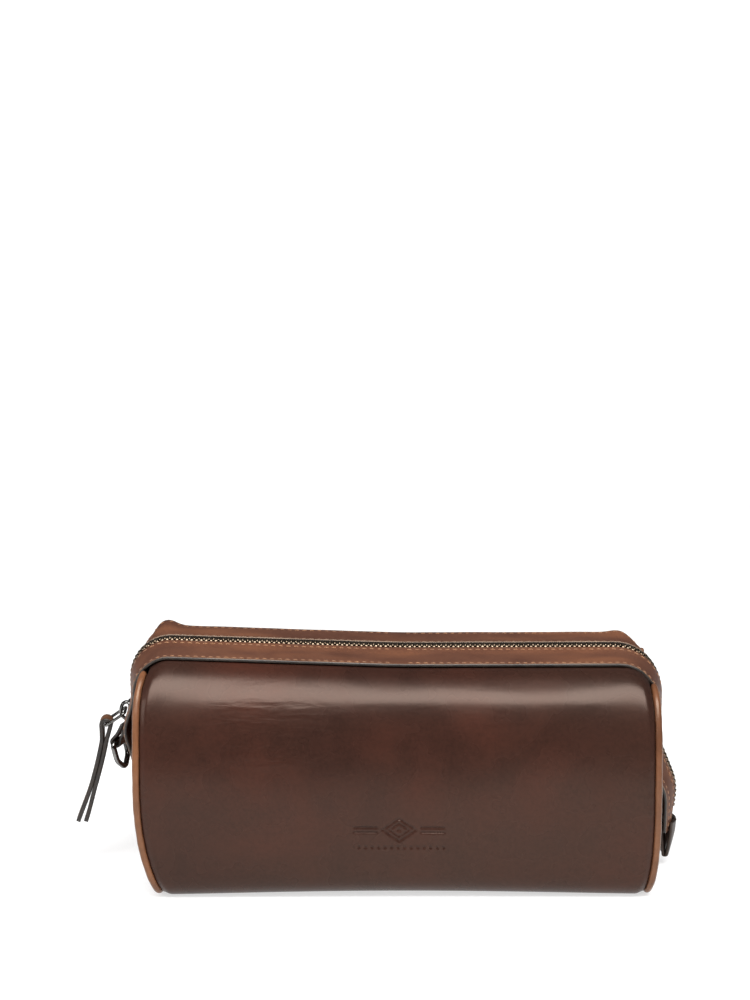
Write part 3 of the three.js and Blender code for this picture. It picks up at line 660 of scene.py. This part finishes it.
def wrapped(inset, thickness, reach, roll_size, dense, ripple):
    """A sheet wrapped from the back's top edge under the base to the front's, as two layers."""
    xs = stations(dense)
    wf = WALL_FRONT if dense else WALL_BACK
    layers = []
    for side in (0, 1):
        rows = []
        for way in xs:
            end = 1 if way > 0 else -1
            share = abs(way)
            x = way * (END_TOP[end] - reach)
            roll = roll_size * float(smooth(share, 0.965, 1)) ** 2
            line = body_lines(x, inset + roll + side * thickness, wf, WALL_BACK)
            px = way * (seam_x(line[:, 1], end) - reach)
            y, z = line[:, 0].copy(), line[:, 1].copy()
            along = np.gradient(line, axis=0)
            along /= np.linalg.norm(along, axis=1)[:, None]
            ny, nz = along[:, 1], -along[:, 0]
            up = smooth(z, 6, 30) * (1 - smooth(z, 98, 108)) * (1 - float(smooth(share, 0.86, 1.0)))
            sway = ripple * up * (
                0.9 * np.sin(px / 31 + z / 44 + 0.6 * (y > 0)) * np.cos(z / 27 - px / 75)
                + 0.35 * np.sin(px / 13.5 - z / 19 + 1.3)
            ) + ripple * 1.7 * up * (1 - share**2)
            if dense:
                sway = sway - ORNAMENT[2] * ornament(px, z) * (y < -40)
            pinch = 0.10 * np.sin(z * 0.9 + y * 0.7) * float(smooth(share, 0.955, 0.985))
            pinch = pinch * smooth(z, 4, 12)
            y = y - ny * (sway + pinch)
            z = z - nz * (sway + pinch)
            z = z + 1.7 * (1 - share**2) ** 1.5 * (1 - smooth(line[:, 1], 0, 30))
            rows.append(np.stack([px, y, z], 1))
        layers.append(np.array(rows))
    return layers


outer, inner = wrapped(0, 2.0, PIPING_R + 0.3, 1.3, True, 0.5)
verts, faces = shell(outer, inner)
body = make("body_shell", verts, outward(verts, faces), [M_BODY])
place(body, "bag", "body_leather", "body_panel")

outer, inner = wrapped(4.6, 0.6, PIPING_R + 2.3, 1.3, False, 0.55)
verts, faces = shell(outer, inner)
lining = make("lining_shell", verts, outward(verts, faces), [M_LINING])
place(lining, "bag", "lining", "lining_body")


def end_panel(side, inset, thickness, offset, dome, tuck):
    """A slightly domed end sheet, with the slot behind the zip left open."""
    u = np.linspace(0, 1, 40)
    rim = half_outline(side * END_TOP[side], inset, False, u, 2, 8)[1:]
    cols = np.r_[np.linspace(-1, -0.12, 22), [-0.068], [0.068], np.linspace(0.12, 1, 22)]
    top = rim[-1, 1]
    layers = []
    for layer in (0, 1):
        rows = []
        for hd, z in rim:
            across = np.where(np.abs(cols) < 0.1, np.sign(cols) * END_SLOT_HALF / hd, cols)
            edge = (1 - across**2) * (1 - (2 * z / top - 1) ** 4)
            bulge = dome * edge + 0.25 * np.sin(across * 7 + z / 17) * edge
            near = 1 - smooth(1 - np.abs(across), 0, 0.05) * smooth(z, rim[0, 1], rim[0, 1] + 4)
            x = seam_x(z, side) + offset + bulge - tuck * near - layer * thickness
            rows.append(np.stack([side * x, across * hd, np.full_like(across, z)], 1))
        layers.append(np.array(rows))
    z_mid = (rim[:-1, 1] + rim[1:, 1]) / 2
    keep = np.ones((len(rim) - 1, len(cols) - 1), bool)
    middle = np.abs((cols[:-1] + cols[1:]) / 2) < 0.05
    keep[np.ix_(z_mid > END_SLOT_FOOT, middle)] = False
    return shell(layers[0], layers[1], keep)


for name, side in (("left", -1), ("right", 1)):
    v, f = end_panel(side, PIPING_INSET + PIPING_R - 0.2, LEATHER, 0.2, 0.9, 1.2)
    ob = make(name + "_end", v, outward(v, f), [M_END])
    place(ob, "bag", "body_leather", name + "_end_panel")
    v, f = end_panel(side, PIPING_INSET + PIPING_R + 1.4, 0.6, -2.4, 0.9, 0)
    ob = make(name + "_lining", v, outward(v, f), [M_LINING])
    place(ob, "bag", "lining", name + "_lining_end")


def seam_path(side):
    """The piping's middle line, from under the back strip down and round to the front."""
    u = np.linspace(0, 0.985, 60)
    half = half_outline(side * END_TOP[side], PIPING_INSET, False, u, 10, 14)
    back = np.concatenate([half, half[-1:] + [[-0.2, 1.3]]])[::-1]
    line = np.concatenate([back, half[1:] * [-1, 1]])
    pts = np.stack([side * seam_x(line[:, 1], side), line[:, 0], line[:, 1]], 1)
    return resample(pts, 1.3)


for name, side in (("left", -1), ("right", 1)):
    pts = seam_path(side)
    k = np.arange(len(pts))
    wob = 0.05 * np.sin(k * 0.9) + 0.05 * np.sin(k * 0.37 + 1)
    ends = np.minimum(k, len(pts) - 1 - k)
    r = PIPING_R + wob - 0.35 * np.exp(-ends / 1.2)
    v, f = tube(pts, r, 20, side_dir=(1, 0, 0))
    ob = make(name + "_piping_roll", v, outward(v, f), [M_PIPE])
    place(ob, "bag", "piping_leather", name + "_piping")


# ---------------------------------------------------------------- the zip band
def strip_loops(s, side, inner, outer, below, above, r=0.55):
    """Rings across a strip: top from the inner edge out, rounded edges, and the underside."""
    mid = (below + above) / 2
    half = (above - below) / 2
    rings = []
    for si in s:
        o, i = float(outer(si)), inner
        pts = [(t, above) for t in np.linspace(i + r, o - r, 15)]
        for k in range(1, 6):
            a = math.pi / 2 - math.pi * k / 6
            pts.append((o - r + r * math.cos(a), mid + half * math.sin(a)))
        pts += [(t, below) for t in np.linspace(o - r, i + r, 8)]
        for k in range(1, 6):
            a = -math.pi / 2 - math.pi * k / 6
            pts.append((i + r + r * math.cos(a), mid + half * math.sin(a)))
        rings.append(pts)
    rings = np.array(rings)
    t, n = rings[..., 0], rings[..., 1]
    on_top = np.zeros(t.shape[1], bool)
    on_top[:15] = True
    ss = np.broadcast_to(np.asarray(s)[:, None], t.shape)
    wav = 0.10 * np.sin(ss / 9.0 + t * 0.3) + 0.07 * np.sin(ss / 4.1 - t * 0.5)
    ow = outer(ss[:, 0])[:, None]
    groove = -0.16 * np.exp(-(((t - (inner + 2.5)) / 0.7) ** 2))
    groove = groove - 0.16 * np.exp(-(((t - (ow - 2.6)) / 0.7) ** 2))
    n = n + np.where(on_top[None], wav * 0.5 + groove, 0)
    n = n + foot_flare(ss, t)
    if side > 0:
        n = n + corner_lift(ss, t)
    return band(ss, side * t, n)


def strip_piece(name, side, s0, s1):
    """A length of strip. Its end in the middle of the bag stays open, where the next length carries on."""
    s = np.linspace(s0, s1, max(12, int((s1 - s0) / 1.3)))
    pos = strip_loops(s, side, STRIP_INNER, half_width, 0.3, 1.9)
    v, f = loops(pos, caps=False)
    c = pos.shape[1]
    # Face materials round a ring: 0 leather, 1 painted edge, 2 the painted highlight on the upper bevel of
    # each edge.
    row = [0] * 14 + [2] + [1] * 5 + [0] * 7 + [1] * 4 + [2, 2]
    index = [row[q % c] for q in range(len(f))]
    if s0 != S_MID:
        f.append(tuple(range(c)))
        index.append(1)
    if s1 != S_MID:
        f.append(tuple(reversed(range(len(v) - c, len(v)))))
        index.append(1)
    f = outward(v, f)
    return make(name, v, f, [M_STRIP, M_EDGE, M_BEVEL_HIGHLIGHT], index)


def tape_piece(name, side, s0, s1):
    """A length of woven tape, from the teeth out to under its strip."""
    s = np.linspace(s0, s1, max(12, int((s1 - s0) / 1.5)))
    outer_t = lambda q: np.minimum(17, half_width(q) - 2)
    t = np.linspace(0, 1, 9)
    S, T = np.meshgrid(s, t, indexing="ij")
    tt = 2.9 + (outer_t(S) - 2.9) * T
    top = band(S, side * tt, 0.0 + 0.05 * np.sin(S * 2.6) * (T < 0.2))
    low = band(S, side * tt, -0.6)
    v, f = shell(top, low)
    return make(name, v, outward(v, f), [M_TAPE])


def tooth(s, side):
    """One cast tooth: a clamp on the tape's edge, a waist and a rounded head with a nib."""
    profile = [(3.5, 1.05), (3.1, 1.35), (2.0, 1.4), (1.2, 0.95), (0.7, 0.78), (0.2, 0.98),
               (-0.45, 1.05), (-0.95, 0.85), (-1.25, 0.45)]
    heights = [0.55, 1.15, 1.4, 1.35, 1.2, 1.25, 1.28, 1.1, 0.6]
    rings = []
    lift = float(proud(s))
    for (t, w), h in zip(profile, heights):
        sec = round_rect(w, h + 1.05, 0.28, 2)
        n = (h - 1.05) / 2 + sec[:, 1] * (1 + 0.25 * lift) + lift * 0.6
        rings.append(band(s + sec[:, 0], side * t, n))
    return loops(np.array(rings))


def teeth_piece(name, side, s0, s1, first, last):
    """One side's teeth on the tape's corded edge. The two sides are half a pitch apart."""
    offset = TOOTH_PITCH / 2 if side > 0 else 0
    parts = []
    k = math.ceil((s0 - offset) / TOOTH_PITCH)
    while offset + k * TOOTH_PITCH < s1:
        s = offset + k * TOOTH_PITCH + 0.42
        if first < s < last:
            parts.append(tooth(s, side))
        k += 1
    cord_s = np.arange(max(s0, first), min(s1, last), 1.5)
    cord = band(cord_s, side * 3.2, -0.05)
    parts.append(tube(cord, 0.62, 8, side_dir=(0, 1, 0)))
    v, f = join(parts)
    cord_faces = len(parts[-1][1])
    ob = make(name, v, f, [M_TEETH, M_TAPE], [0] * (len(f) - cord_faces) + [1] * cord_faces)
    fix_normals(ob)
    return ob


def fix_normals(ob):
    bm = bmesh.new()
    bm.from_mesh(ob.data)
    bmesh.ops.recalc_face_normals(bm, faces=bm.faces)
    bm.to_mesh(ob.data)
    bm.free()


def stitch(s, side, t, n, skew, length=2.75, r=0.36):
    """One stitch: a short thread that dips into the leather at both ends."""
    ks = np.linspace(-1, 1, 7)
    ring_r = r * np.sqrt(np.clip(1 - np.abs(ks) ** 3.2, 0.03, 1))
    dip = -0.34 * np.abs(ks) ** 4
    ang = np.linspace(0, 2 * np.pi, 7, endpoint=False)
    rings = []
    for kk, rr, dd in zip(ks, ring_r, dip):
        tt = t + skew * length * kk + rr * np.cos(ang)
        rings.append(band(s + kk * length / 2, side * tt, n + dd + rr * np.sin(ang) * 0.85))
    return loops(np.array(rings))


def stitches_piece(name, side, s0, s1, row, mat):
    parts = []
    k = math.ceil(s0 / STITCH_PITCH)
    while (k + 0.7) * STITCH_PITCH < s1:
        s = (k + 0.5) * STITCH_PITCH
        t = STRIP_INNER + 2.5 if row == "inner" else float(half_width(s)) - 2.6
        slope = float(half_width(s + 1) - half_width(s - 1)) / 2 if row == "outer" else 0
        jig = 0.06 * math.sin(k * 2.7)
        lift = float(foot_flare(s, t)) + (float(corner_lift(s, t)) if side > 0 else 0.0)
        skew = 0.035 + slope * 0.5 + 0.02 * math.sin(k * 1.9)
        parts.append(stitch(s, side, t + jig, 1.9 - 0.10 + lift, skew))
        k += 1
    v, f = join(parts)
    ob = make(name, v, f, [mat])
    fix_normals(ob)
    return ob


STRETCH = {  # place: (from, to, body, far body, blend start, blend end, CAD places)
    "west": (0.0, S_MID, "bag", "flap", (-0.128, 0, 0.1), (-0.098, 0, 0.1), ("left", "top")),
    "east": (S_MID, S_TAIL - 0.2, "bag", "flap", (0.128, 0, 0.1), (0.098, 0, 0.1), ("top", "right")),
    "tail": (S_TAIL - 0.2, BAND_END - TAB_LENGTH + 5, "bag", "tail",
             (0.134, 0, 0.0715), (0.134, 0, 0.062), ("tail",)),
}
TEETH_FIRST = SLIDER_Z - BAND_FOOT_Z - SLIDER_LENGTH / 2 + 2.6
TEETH_LAST = BAND_END - TAB_LENGTH - 7.4

for row, side in (("front", -1), ("back", 1)):
    for where, (s0, s1, a, b, start, end, places) in STRETCH.items():
        b = f"{row}_flap" if b == "flap" else b
        strip = strip_piece(f"{row}_strip_{where}", side, s0, s1)
        tape = tape_piece(f"{row}_tape_{where}", side, s0, s1)
        teeth = teeth_piece(f"{row}_teeth_{where}", side, s0, s1, TEETH_FIRST, TEETH_LAST)
        made = [(strip, "strip", "strip_leather"), (tape, "tape", "zip_tape"), (teeth, "teeth", "zip_teeth")]
        for seam in ("inner", "outer"):
            # Painted shade: the back strip's inner row, beside the zip, gets the darker copy of the same
            # thread.
            thread_used = M_THREAD_SHADED if seam == "inner" and side > 0 else M_THREAD
            sewn = stitches_piece(f"{row}_stitches_{seam}_{where}", side, s0 + 2, s1 - 1.0, seam, thread_used)
            made.append((sewn, None, "strip_leather"))
        for ob, kind, slot in made:
            if kind:
                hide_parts(*[f"{row}_{kind}_{p}" for p in places])
            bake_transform(ob)


# ---------------------------------------------------------------- straps: pull, ring loop and tail tab
def strap_piece(name, spine, width, thick, to_world, mats):
    """A strap along a flat spine (N, 2); width can vary along it. Its side edges are painted."""
    spine = np.asarray(spine, float)
    tan = np.gradient(spine, axis=0)
    tan /= np.linalg.norm(tan, axis=1)[:, None]
    nor = np.stack([tan[:, 1], -tan[:, 0]], 1)
    n = len(spine)
    width = np.broadcast_to(width, n)
    thick = np.broadcast_to(thick, n)
    rings = []
    for i in range(n):
        sec = round_rect(width[i], thick[i], min(0.62, thick[i] * 0.36), 4)
        flat = spine[i] + nor[i] * sec[:, 1:2]
        rings.append(to_world(flat[:, 0], flat[:, 1], sec[:, 0]))
    rings = np.array(rings)
    v, f = loops(rings)
    c = rings.shape[1]
    mid = round_rect(width[n // 2], thick[n // 2], 0.5, 4)
    idx = []
    for q in range(len(f) - 2):
        k = q % c
        across = abs(mid[k, 0] + mid[(k + 1) % c, 0]) / 2
        idx.append(1 if across > width[n // 2] / 2 - 0.62 else 0)
    idx += [1, 1]
    ob = make(name, v, f, mats, idx)
    fix_normals(ob)
    return ob


def catmull(points, step):
    """A smooth path through points."""
    p = np.asarray(points, float)
    p = np.concatenate([2 * p[:1] - p[1:2], p, 2 * p[-1:] - p[-2:-1]])
    out = []
    for i in range(1, len(p) - 2):
        u = np.linspace(0, 1, 12, endpoint=False)[:, None]
        a, b, c, d = p[i - 1], p[i], p[i + 1], p[i + 2]
        square, cube = 2 * a - 5 * b + 4 * c - d, 3 * b - a - 3 * c + d
        out.append(0.5 * (2 * b + (c - a) * u + square * u**2 + cube * u**3))
    out.append(p[-2:-1])
    return resample(np.concatenate(out), step)


def left_end(n, t, z):
    """A point on the left end: n out from the band, t to the side, at a height z."""
    return np.stack(np.broadcast_arrays(BAND_LEFT - np.asarray(n, float), t, z), -1)


LINK_PIVOT, LINK_LEN, LINK_W = (4.7, 81.6), 11.8, 11.4
LINK_ANGLE = math.radians(-35)


def link_at(along, t, off):
    n = LINK_PIVOT[0] + along * math.cos(LINK_ANGLE) - off * math.sin(LINK_ANGLE)
    z = LINK_PIVOT[1] + along * math.sin(LINK_ANGLE) + off * math.cos(LINK_ANGLE)
    return left_end(n, t, z)


LINK_END = link_at(LINK_LEN, 0.0, 0.0)


def pull_spine():
    fold_r, leg = 2.35, 51.0
    bow = lambda d: 13 * (d / leg) ** 1.35

    def side_points(side):
        d = np.linspace(leg, 5, 14)
        gap = lerp(fold_r, 1.14, smooth(d, 0, 9)) + 0.8 * smooth(d, 32, leg)
        return np.stack([LINK_END[0] - bow(d) + side * gap, LINK_END[2] - d], 1)

    a = np.radians(np.linspace(180, 0, 9))
    fold = np.stack([LINK_END[0] + fold_r * np.cos(a), LINK_END[2] + fold_r * np.sin(a)], 1)
    return catmull(np.concatenate([side_points(-1), fold, side_points(1)[::-1]]), 0.9)


spine = pull_spine()
k = np.arange(len(spine))
width = 9.0 + 0.15 * np.sin(k * 0.21)
pull = strap_piece("pull_strap", spine, width, 2.2,
                   lambda x, z, y: np.stack([x, y, z], -1), [M_PULL, M_EDGE])
place(pull, "leather_pull", "pull_leather", "leather_pull")

RING_C, RING_BAR, RING_DROP, RING_WIRE = (-141.1, 65.6), 15.0, 14.5, 1.4
RING_TURN, RING_LEAN = math.radians(18), math.radians(14)


def ring_turned(x, t, z):
    dx = np.asarray(x, float) - RING_C[0]
    c, s = math.cos(RING_TURN), math.sin(RING_TURN)
    return np.stack(np.broadcast_arrays(RING_C[0] + dx * c + t * s, t * c - dx * s, z), -1)


def ring_at(down, t, off=0.0):
    x = RING_C[0] + down * math.sin(RING_LEAN) + off * math.cos(RING_LEAN)
    z = RING_C[1] - down * math.cos(RING_LEAN) + off * math.sin(RING_LEAN)
    return ring_turned(x, t, z)


h = RING_BAR / 2
flat = rounded_path(
    [[0, 0], [0, h, 1.8], [RING_DROP * 0.62, h - 0.4, 4.5], [RING_DROP, 0, 4.2],
     [RING_DROP * 0.62, 0.4 - h, 4.5], [0, -h, 1.8], [0, 0]], 0.5)
flat = resample(flat, 0.7)[:-1]
v, f = tube(ring_at(flat[:, 0], flat[:, 1]), RING_WIRE, 18, closed=True)
ob = make("d_ring_wire", v, outward(v, f), [M_METAL])
place(ob, "d_ring", "gunmetal", "d_ring")

x, z = RING_C
a = np.radians(np.array([10, -35, -90, -145, 170, 125]))
around = np.stack([x + 2.3 * np.cos(a), z + 2.3 * np.sin(a)], 1)
spine = np.concatenate([[[x + 5.2, z + 9.4], [x + 4.4, z + 5.6], [x + 3.0, z + 2.8]], around,
                        [[x + 0.9, z + 4.6], [x + 3.4, z + 9.4]]])
spine = catmull(spine, 0.6)
loop = strap_piece("ring_loop_strap", spine, 8.4, 1.5,
                   lambda px, pz, t: ring_turned(px, t, pz), [M_PULL, M_EDGE])
place(loop, "bag", "strip_leather", "d_ring_loop")


def tab_spine():
    leaf, start = 1.6, BAND_END - TAB_LENGTH
    out_n, in_n = (1.9 + 0.3 + leaf / 2, 1.4), (-0.6 - 0.3 - leaf / 2, -0.6)
    run = np.array([0, 0.3, 0.6, 0.85])
    side = lambda p: np.stack([start + run * TAB_LENGTH, lerp(p[0], p[1], smooth(run, 0.25, 1))], 1)
    fold = np.array([[start + q * TAB_LENGTH, n] for q, n in ((0.96, 1.2), (1.0, 0.4), (0.96, -0.4))])
    return catmull(np.concatenate([side(out_n), fold, side(in_n)[::-1]]), 0.7), start


def tab_piece():
    """The beak folded over the zip's end, narrowing to its fold."""
    spine, start = tab_spine()
    share = np.clip((spine[:, 0] - start) / TAB_LENGTH, 0, 1)
    width = 2 * lerp(9.5, 4.2, share**1.4)
    tan = np.gradient(spine, axis=0)
    tan /= np.linalg.norm(tan, axis=1)[:, None]
    rings = []
    across = np.concatenate([np.linspace(-1, 1, 19), np.linspace(1, -1, 19)])
    half_t = np.concatenate([np.ones(19), -np.ones(19)]) * 0.8
    soft = 1 - 0.55 * smooth(np.abs(across), 0.93, 1.0)
    for i in range(len(spine)):
        off = half_t * soft
        s = spine[i, 0] - tan[i, 1] * off
        n = spine[i, 1] + tan[i, 0] * off
        rings.append(band(s, across * width[i] / 2, n))
    v, f = loops(np.array(rings))
    ob = make("tail_beak", v, f, [M_TAB])
    fix_normals(ob)
    return ob


place(tab_piece(), "tail", "dark_leather", "tail_tab")


# ---------------------------------------------------------------- slider, link and stops
def plate(points, low, high, r=0.35):
    """A flat rounded plate on the left end from its outline (t, z), between two heights n."""
    pts = np.asarray(points, float)
    c = pts.mean(0)
    rings = []
    out, tall = np.linalg.norm(pts - c, axis=1)[:, None], high - low
    steps = ((0, r), (r * 0.3, r * 0.25), (r, 0), (tall - r, 0), (tall - r * 0.3, r * 0.25), (tall, r))
    for dn, inset in steps:
        q = c + (pts - c) * (1 - inset / out)
        rings.append(left_end(low + dn, q[:, 0], q[:, 1]))
    return loops(np.array(rings))


def slider_parts():
    z0, length = SLIDER_Z, SLIDER_LENGTH
    top, bottom = z0 + length / 2, z0 - length / 2
    half = [(0, 2.0), (0.04, 2.9), (0.12, 3.5), (0.35, 3.6), (0.55, 3.85),
            (0.75, 4.5), (0.9, 4.5), (0.97, 3.9), (1, 2.8)]
    side = [(w, top - u * length) for u, w in half]
    outline = side + [(0, bottom)] + [(-w, zz) for w, zz in side[::-1]] + [(0, top)]
    outline = resample(np.array(outline + outline[:1]), 0.6)[:-1]
    parts = [plate(outline, 2.0, 3.2), plate(outline, -2.9, -1.7)]
    for sgn in (-1, 1):
        rail = np.array([[sgn * 4.1, zz] for zz in np.linspace(bottom + 1.4, bottom + 5.0, 8)])
        parts.append(tube(left_end(1.7, rail[:, 0], rail[:, 1]), 0.55, 10, side_dir=(0, 1, 0)))
    post = resample(np.array([[-2.2, bottom + 1.4], [2.4, bottom + 1.4]]), 0.5)
    parts.append(tube(left_end(post[:, 0], 0.0, post[:, 1]), 0.85, 12, side_dir=(0, 1, 0)))
    arch = catmull([[2.7, top - 1.5], [4.3, top - 1.2], [6.0, top - 2.2], [6.9, z0 + 0.6], [6.7, z0 - 2.2],
                    [5.3, bottom + 1.5], [3.9, bottom + 1.0], [2.7, bottom + 1.3]], 0.4)
    parts.append(tube(left_end(arch[:, 0], 0.0, arch[:, 1]), 0.95, 14, flat=(0.95, 1.4), side_dir=(0, 1, 0)))
    return parts


v, f = join(slider_parts())
ob = make("slider_cast", v, f, [M_METAL])
fix_normals(ob)
place(ob, "slider", "gunmetal", "slider")

w = LINK_W / 2
flat = rounded_path([[0, 0], [0, w, 1.6], [LINK_LEN, w, 1.6], [LINK_LEN, -w, 1.6], [0, -w, 1.6], [0, 0]], 0.4)
flat = resample(flat, 0.6)[:-1]
v, f = tube(link_at(flat[:, 0], flat[:, 1], 0.0), 0.75, 14, closed=True)
ob = make("pull_link_wire", v, outward(v, f), [M_METAL])
place(ob, "pull_link", "gunmetal", "pull_link")

for node in ("front_top_stop", "back_top_stop", "bottom_stop"):
    lo, hi = [np.array(q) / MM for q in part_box(node)]
    if node == "bottom_stop":
        hi[0] -= 1.2
    size, mid = hi - lo, (hi + lo) / 2
    rings = []
    for zz, k in ((0, 0.7), (0.12, 0.95), (0.3, 1), (0.7, 1), (0.88, 0.95), (1, 0.7)):
        sec = round_rect(size[0] * k, size[1] * k, 0.35 * k, 3)
        height = np.full(len(sec), lo[2] + zz * size[2])
        rings.append(np.stack([mid[0] + sec[:, 0], mid[1] + sec[:, 1], height], 1))
    v, f = loops(np.array(rings))
    ob = make(node + "_cast", v, f, [M_TEETH])
    fix_normals(ob)
    place(ob, "tail" if node == "bottom_stop" else "bag", "zip_teeth", node)

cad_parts["base_board"].material_slots[0].material = M_BOARD


# ---------------------------------------------------------------- stage, light and camera
def stage_piece(name, profile, strength, in_gloss):
    """A surface of revolution around the bag, with a matt white finish."""
    turns = 96
    verts, faces = [], []
    for r, z in profile:
        for k in range(turns):
            a = 2 * math.pi * k / turns
            verts.append((r * math.cos(a), r * math.sin(a), z))
    for i in range(len(profile) - 1):
        for k in range(turns):
            q = (k + 1) % turns
            faces.append((i * turns + k, i * turns + q, (i + 1) * turns + q, (i + 1) * turns + k))
    me = bpy.data.meshes.new(name)
    me.from_pydata(verts, [], faces)
    me.polygons.foreach_set("use_smooth", [True] * len(faces))
    ob = bpy.data.objects.new(name, me)
    bpy.context.scene.collection.objects.link(ob)
    m, nt, bsdf = nodes_of(name + "_white")
    tone = ramp(nt, noise(nt, coords(nt), 3, 2, 0.5), [(0.3, 0.42), (0.7, 0.45)])
    nt.links.new(tone, bsdf.inputs["Base Color"])
    bsdf.inputs["Roughness"].default_value = 0.9
    bsdf.inputs["Specular IOR Level"].default_value = 0.1
    bsdf.inputs["Emission Color"].default_value = (1, 1, 1, 1)
    bsdf.inputs["Emission Strength"].default_value = strength
    me.materials.append(m)
    ob.visible_glossy = in_gloss


FLOOR_EDGE = 0.9
stage_piece("floor", [(0.0005, 0), (0.3, 0), (FLOOR_EDGE, 0)], 0.62, True)
SWEEP = [(2.6 + 0.8 * math.sin(a), 0.8 - 0.8 * math.cos(a)) for a in np.linspace(0.1, math.pi / 2, 12)]
stage_piece("backdrop", [(FLOOR_EDGE, 0), (2.6, 0), *SWEEP, (3.4, 3.2)], 0.75, False)


def area(name, loc, target, size, size_y, power):
    li = bpy.data.lights.new(name, "AREA")
    li.shape = "RECTANGLE"
    li.size, li.size_y, li.energy = size, size_y, power
    ob = bpy.data.objects.new(name, li)
    bpy.context.scene.collection.objects.link(ob)
    ob.location = loc
    d = Vector(target) - Vector(loc)
    ob.rotation_euler = d.to_track_quat("-Z", "Y").to_euler()


area("overhead_softbox", (0.04, -0.54, 0.97), (0, -0.05, 0.05), 1.25, 0.56, 25)
area("left_card", (-1.2, -0.5, 0.6), (0, 0, 0.06), 0.3, 0.5, 2.5)

world = bpy.data.worlds.new("studio")
bpy.context.scene.world = world
world.use_nodes = True
nt = world.node_tree
nt.nodes.clear()
out = nt.nodes.new("ShaderNodeOutputWorld")
bg = nt.nodes.new("ShaderNodeBackground")
bg.inputs[0].default_value = (1.0, 1.0, 1.0, 1)
bg.inputs[1].default_value = 0.08
nt.links.new(bg.outputs[0], out.inputs[0])
bpy.context.scene.view_settings.view_transform = "Standard"

ELEVATION, AZIMUTH, DISTANCE, LENS, ROLL = 17.36, -1.0, 1.50, 105.8, 0.25
AIM = (0.81, 9.22)  # mm on the sensor from the frame's middle to the bag's, right and down


def camera():
    cam = bpy.data.cameras.new("camera")
    cam.lens = LENS
    cam.sensor_width = 36.0
    ob = bpy.data.objects.new("camera", cam)
    bpy.context.scene.collection.objects.link(ob)
    e, a = math.radians(ELEVATION), math.radians(AZIMUTH)
    target = Vector((0, 0, 0.057))
    back = Vector((math.cos(e) * math.sin(a), -math.cos(e) * math.cos(a), math.sin(e)))
    ob.location = target + back * DISTANCE
    q = (-back).to_track_quat("-Z", "Y")
    yaw, pitch = math.atan(AIM[0] / LENS), math.atan(AIM[1] / LENS)
    turn = Matrix.Rotation(yaw, 4, "Y") @ Matrix.Rotation(pitch, 4, "X")
    turn = turn @ Matrix.Rotation(math.radians(ROLL), 4, "Z")
    ob.matrix_world = Matrix.Translation(ob.location) @ q.to_matrix().to_4x4() @ turn
    bpy.context.scene.camera = ob


camera()
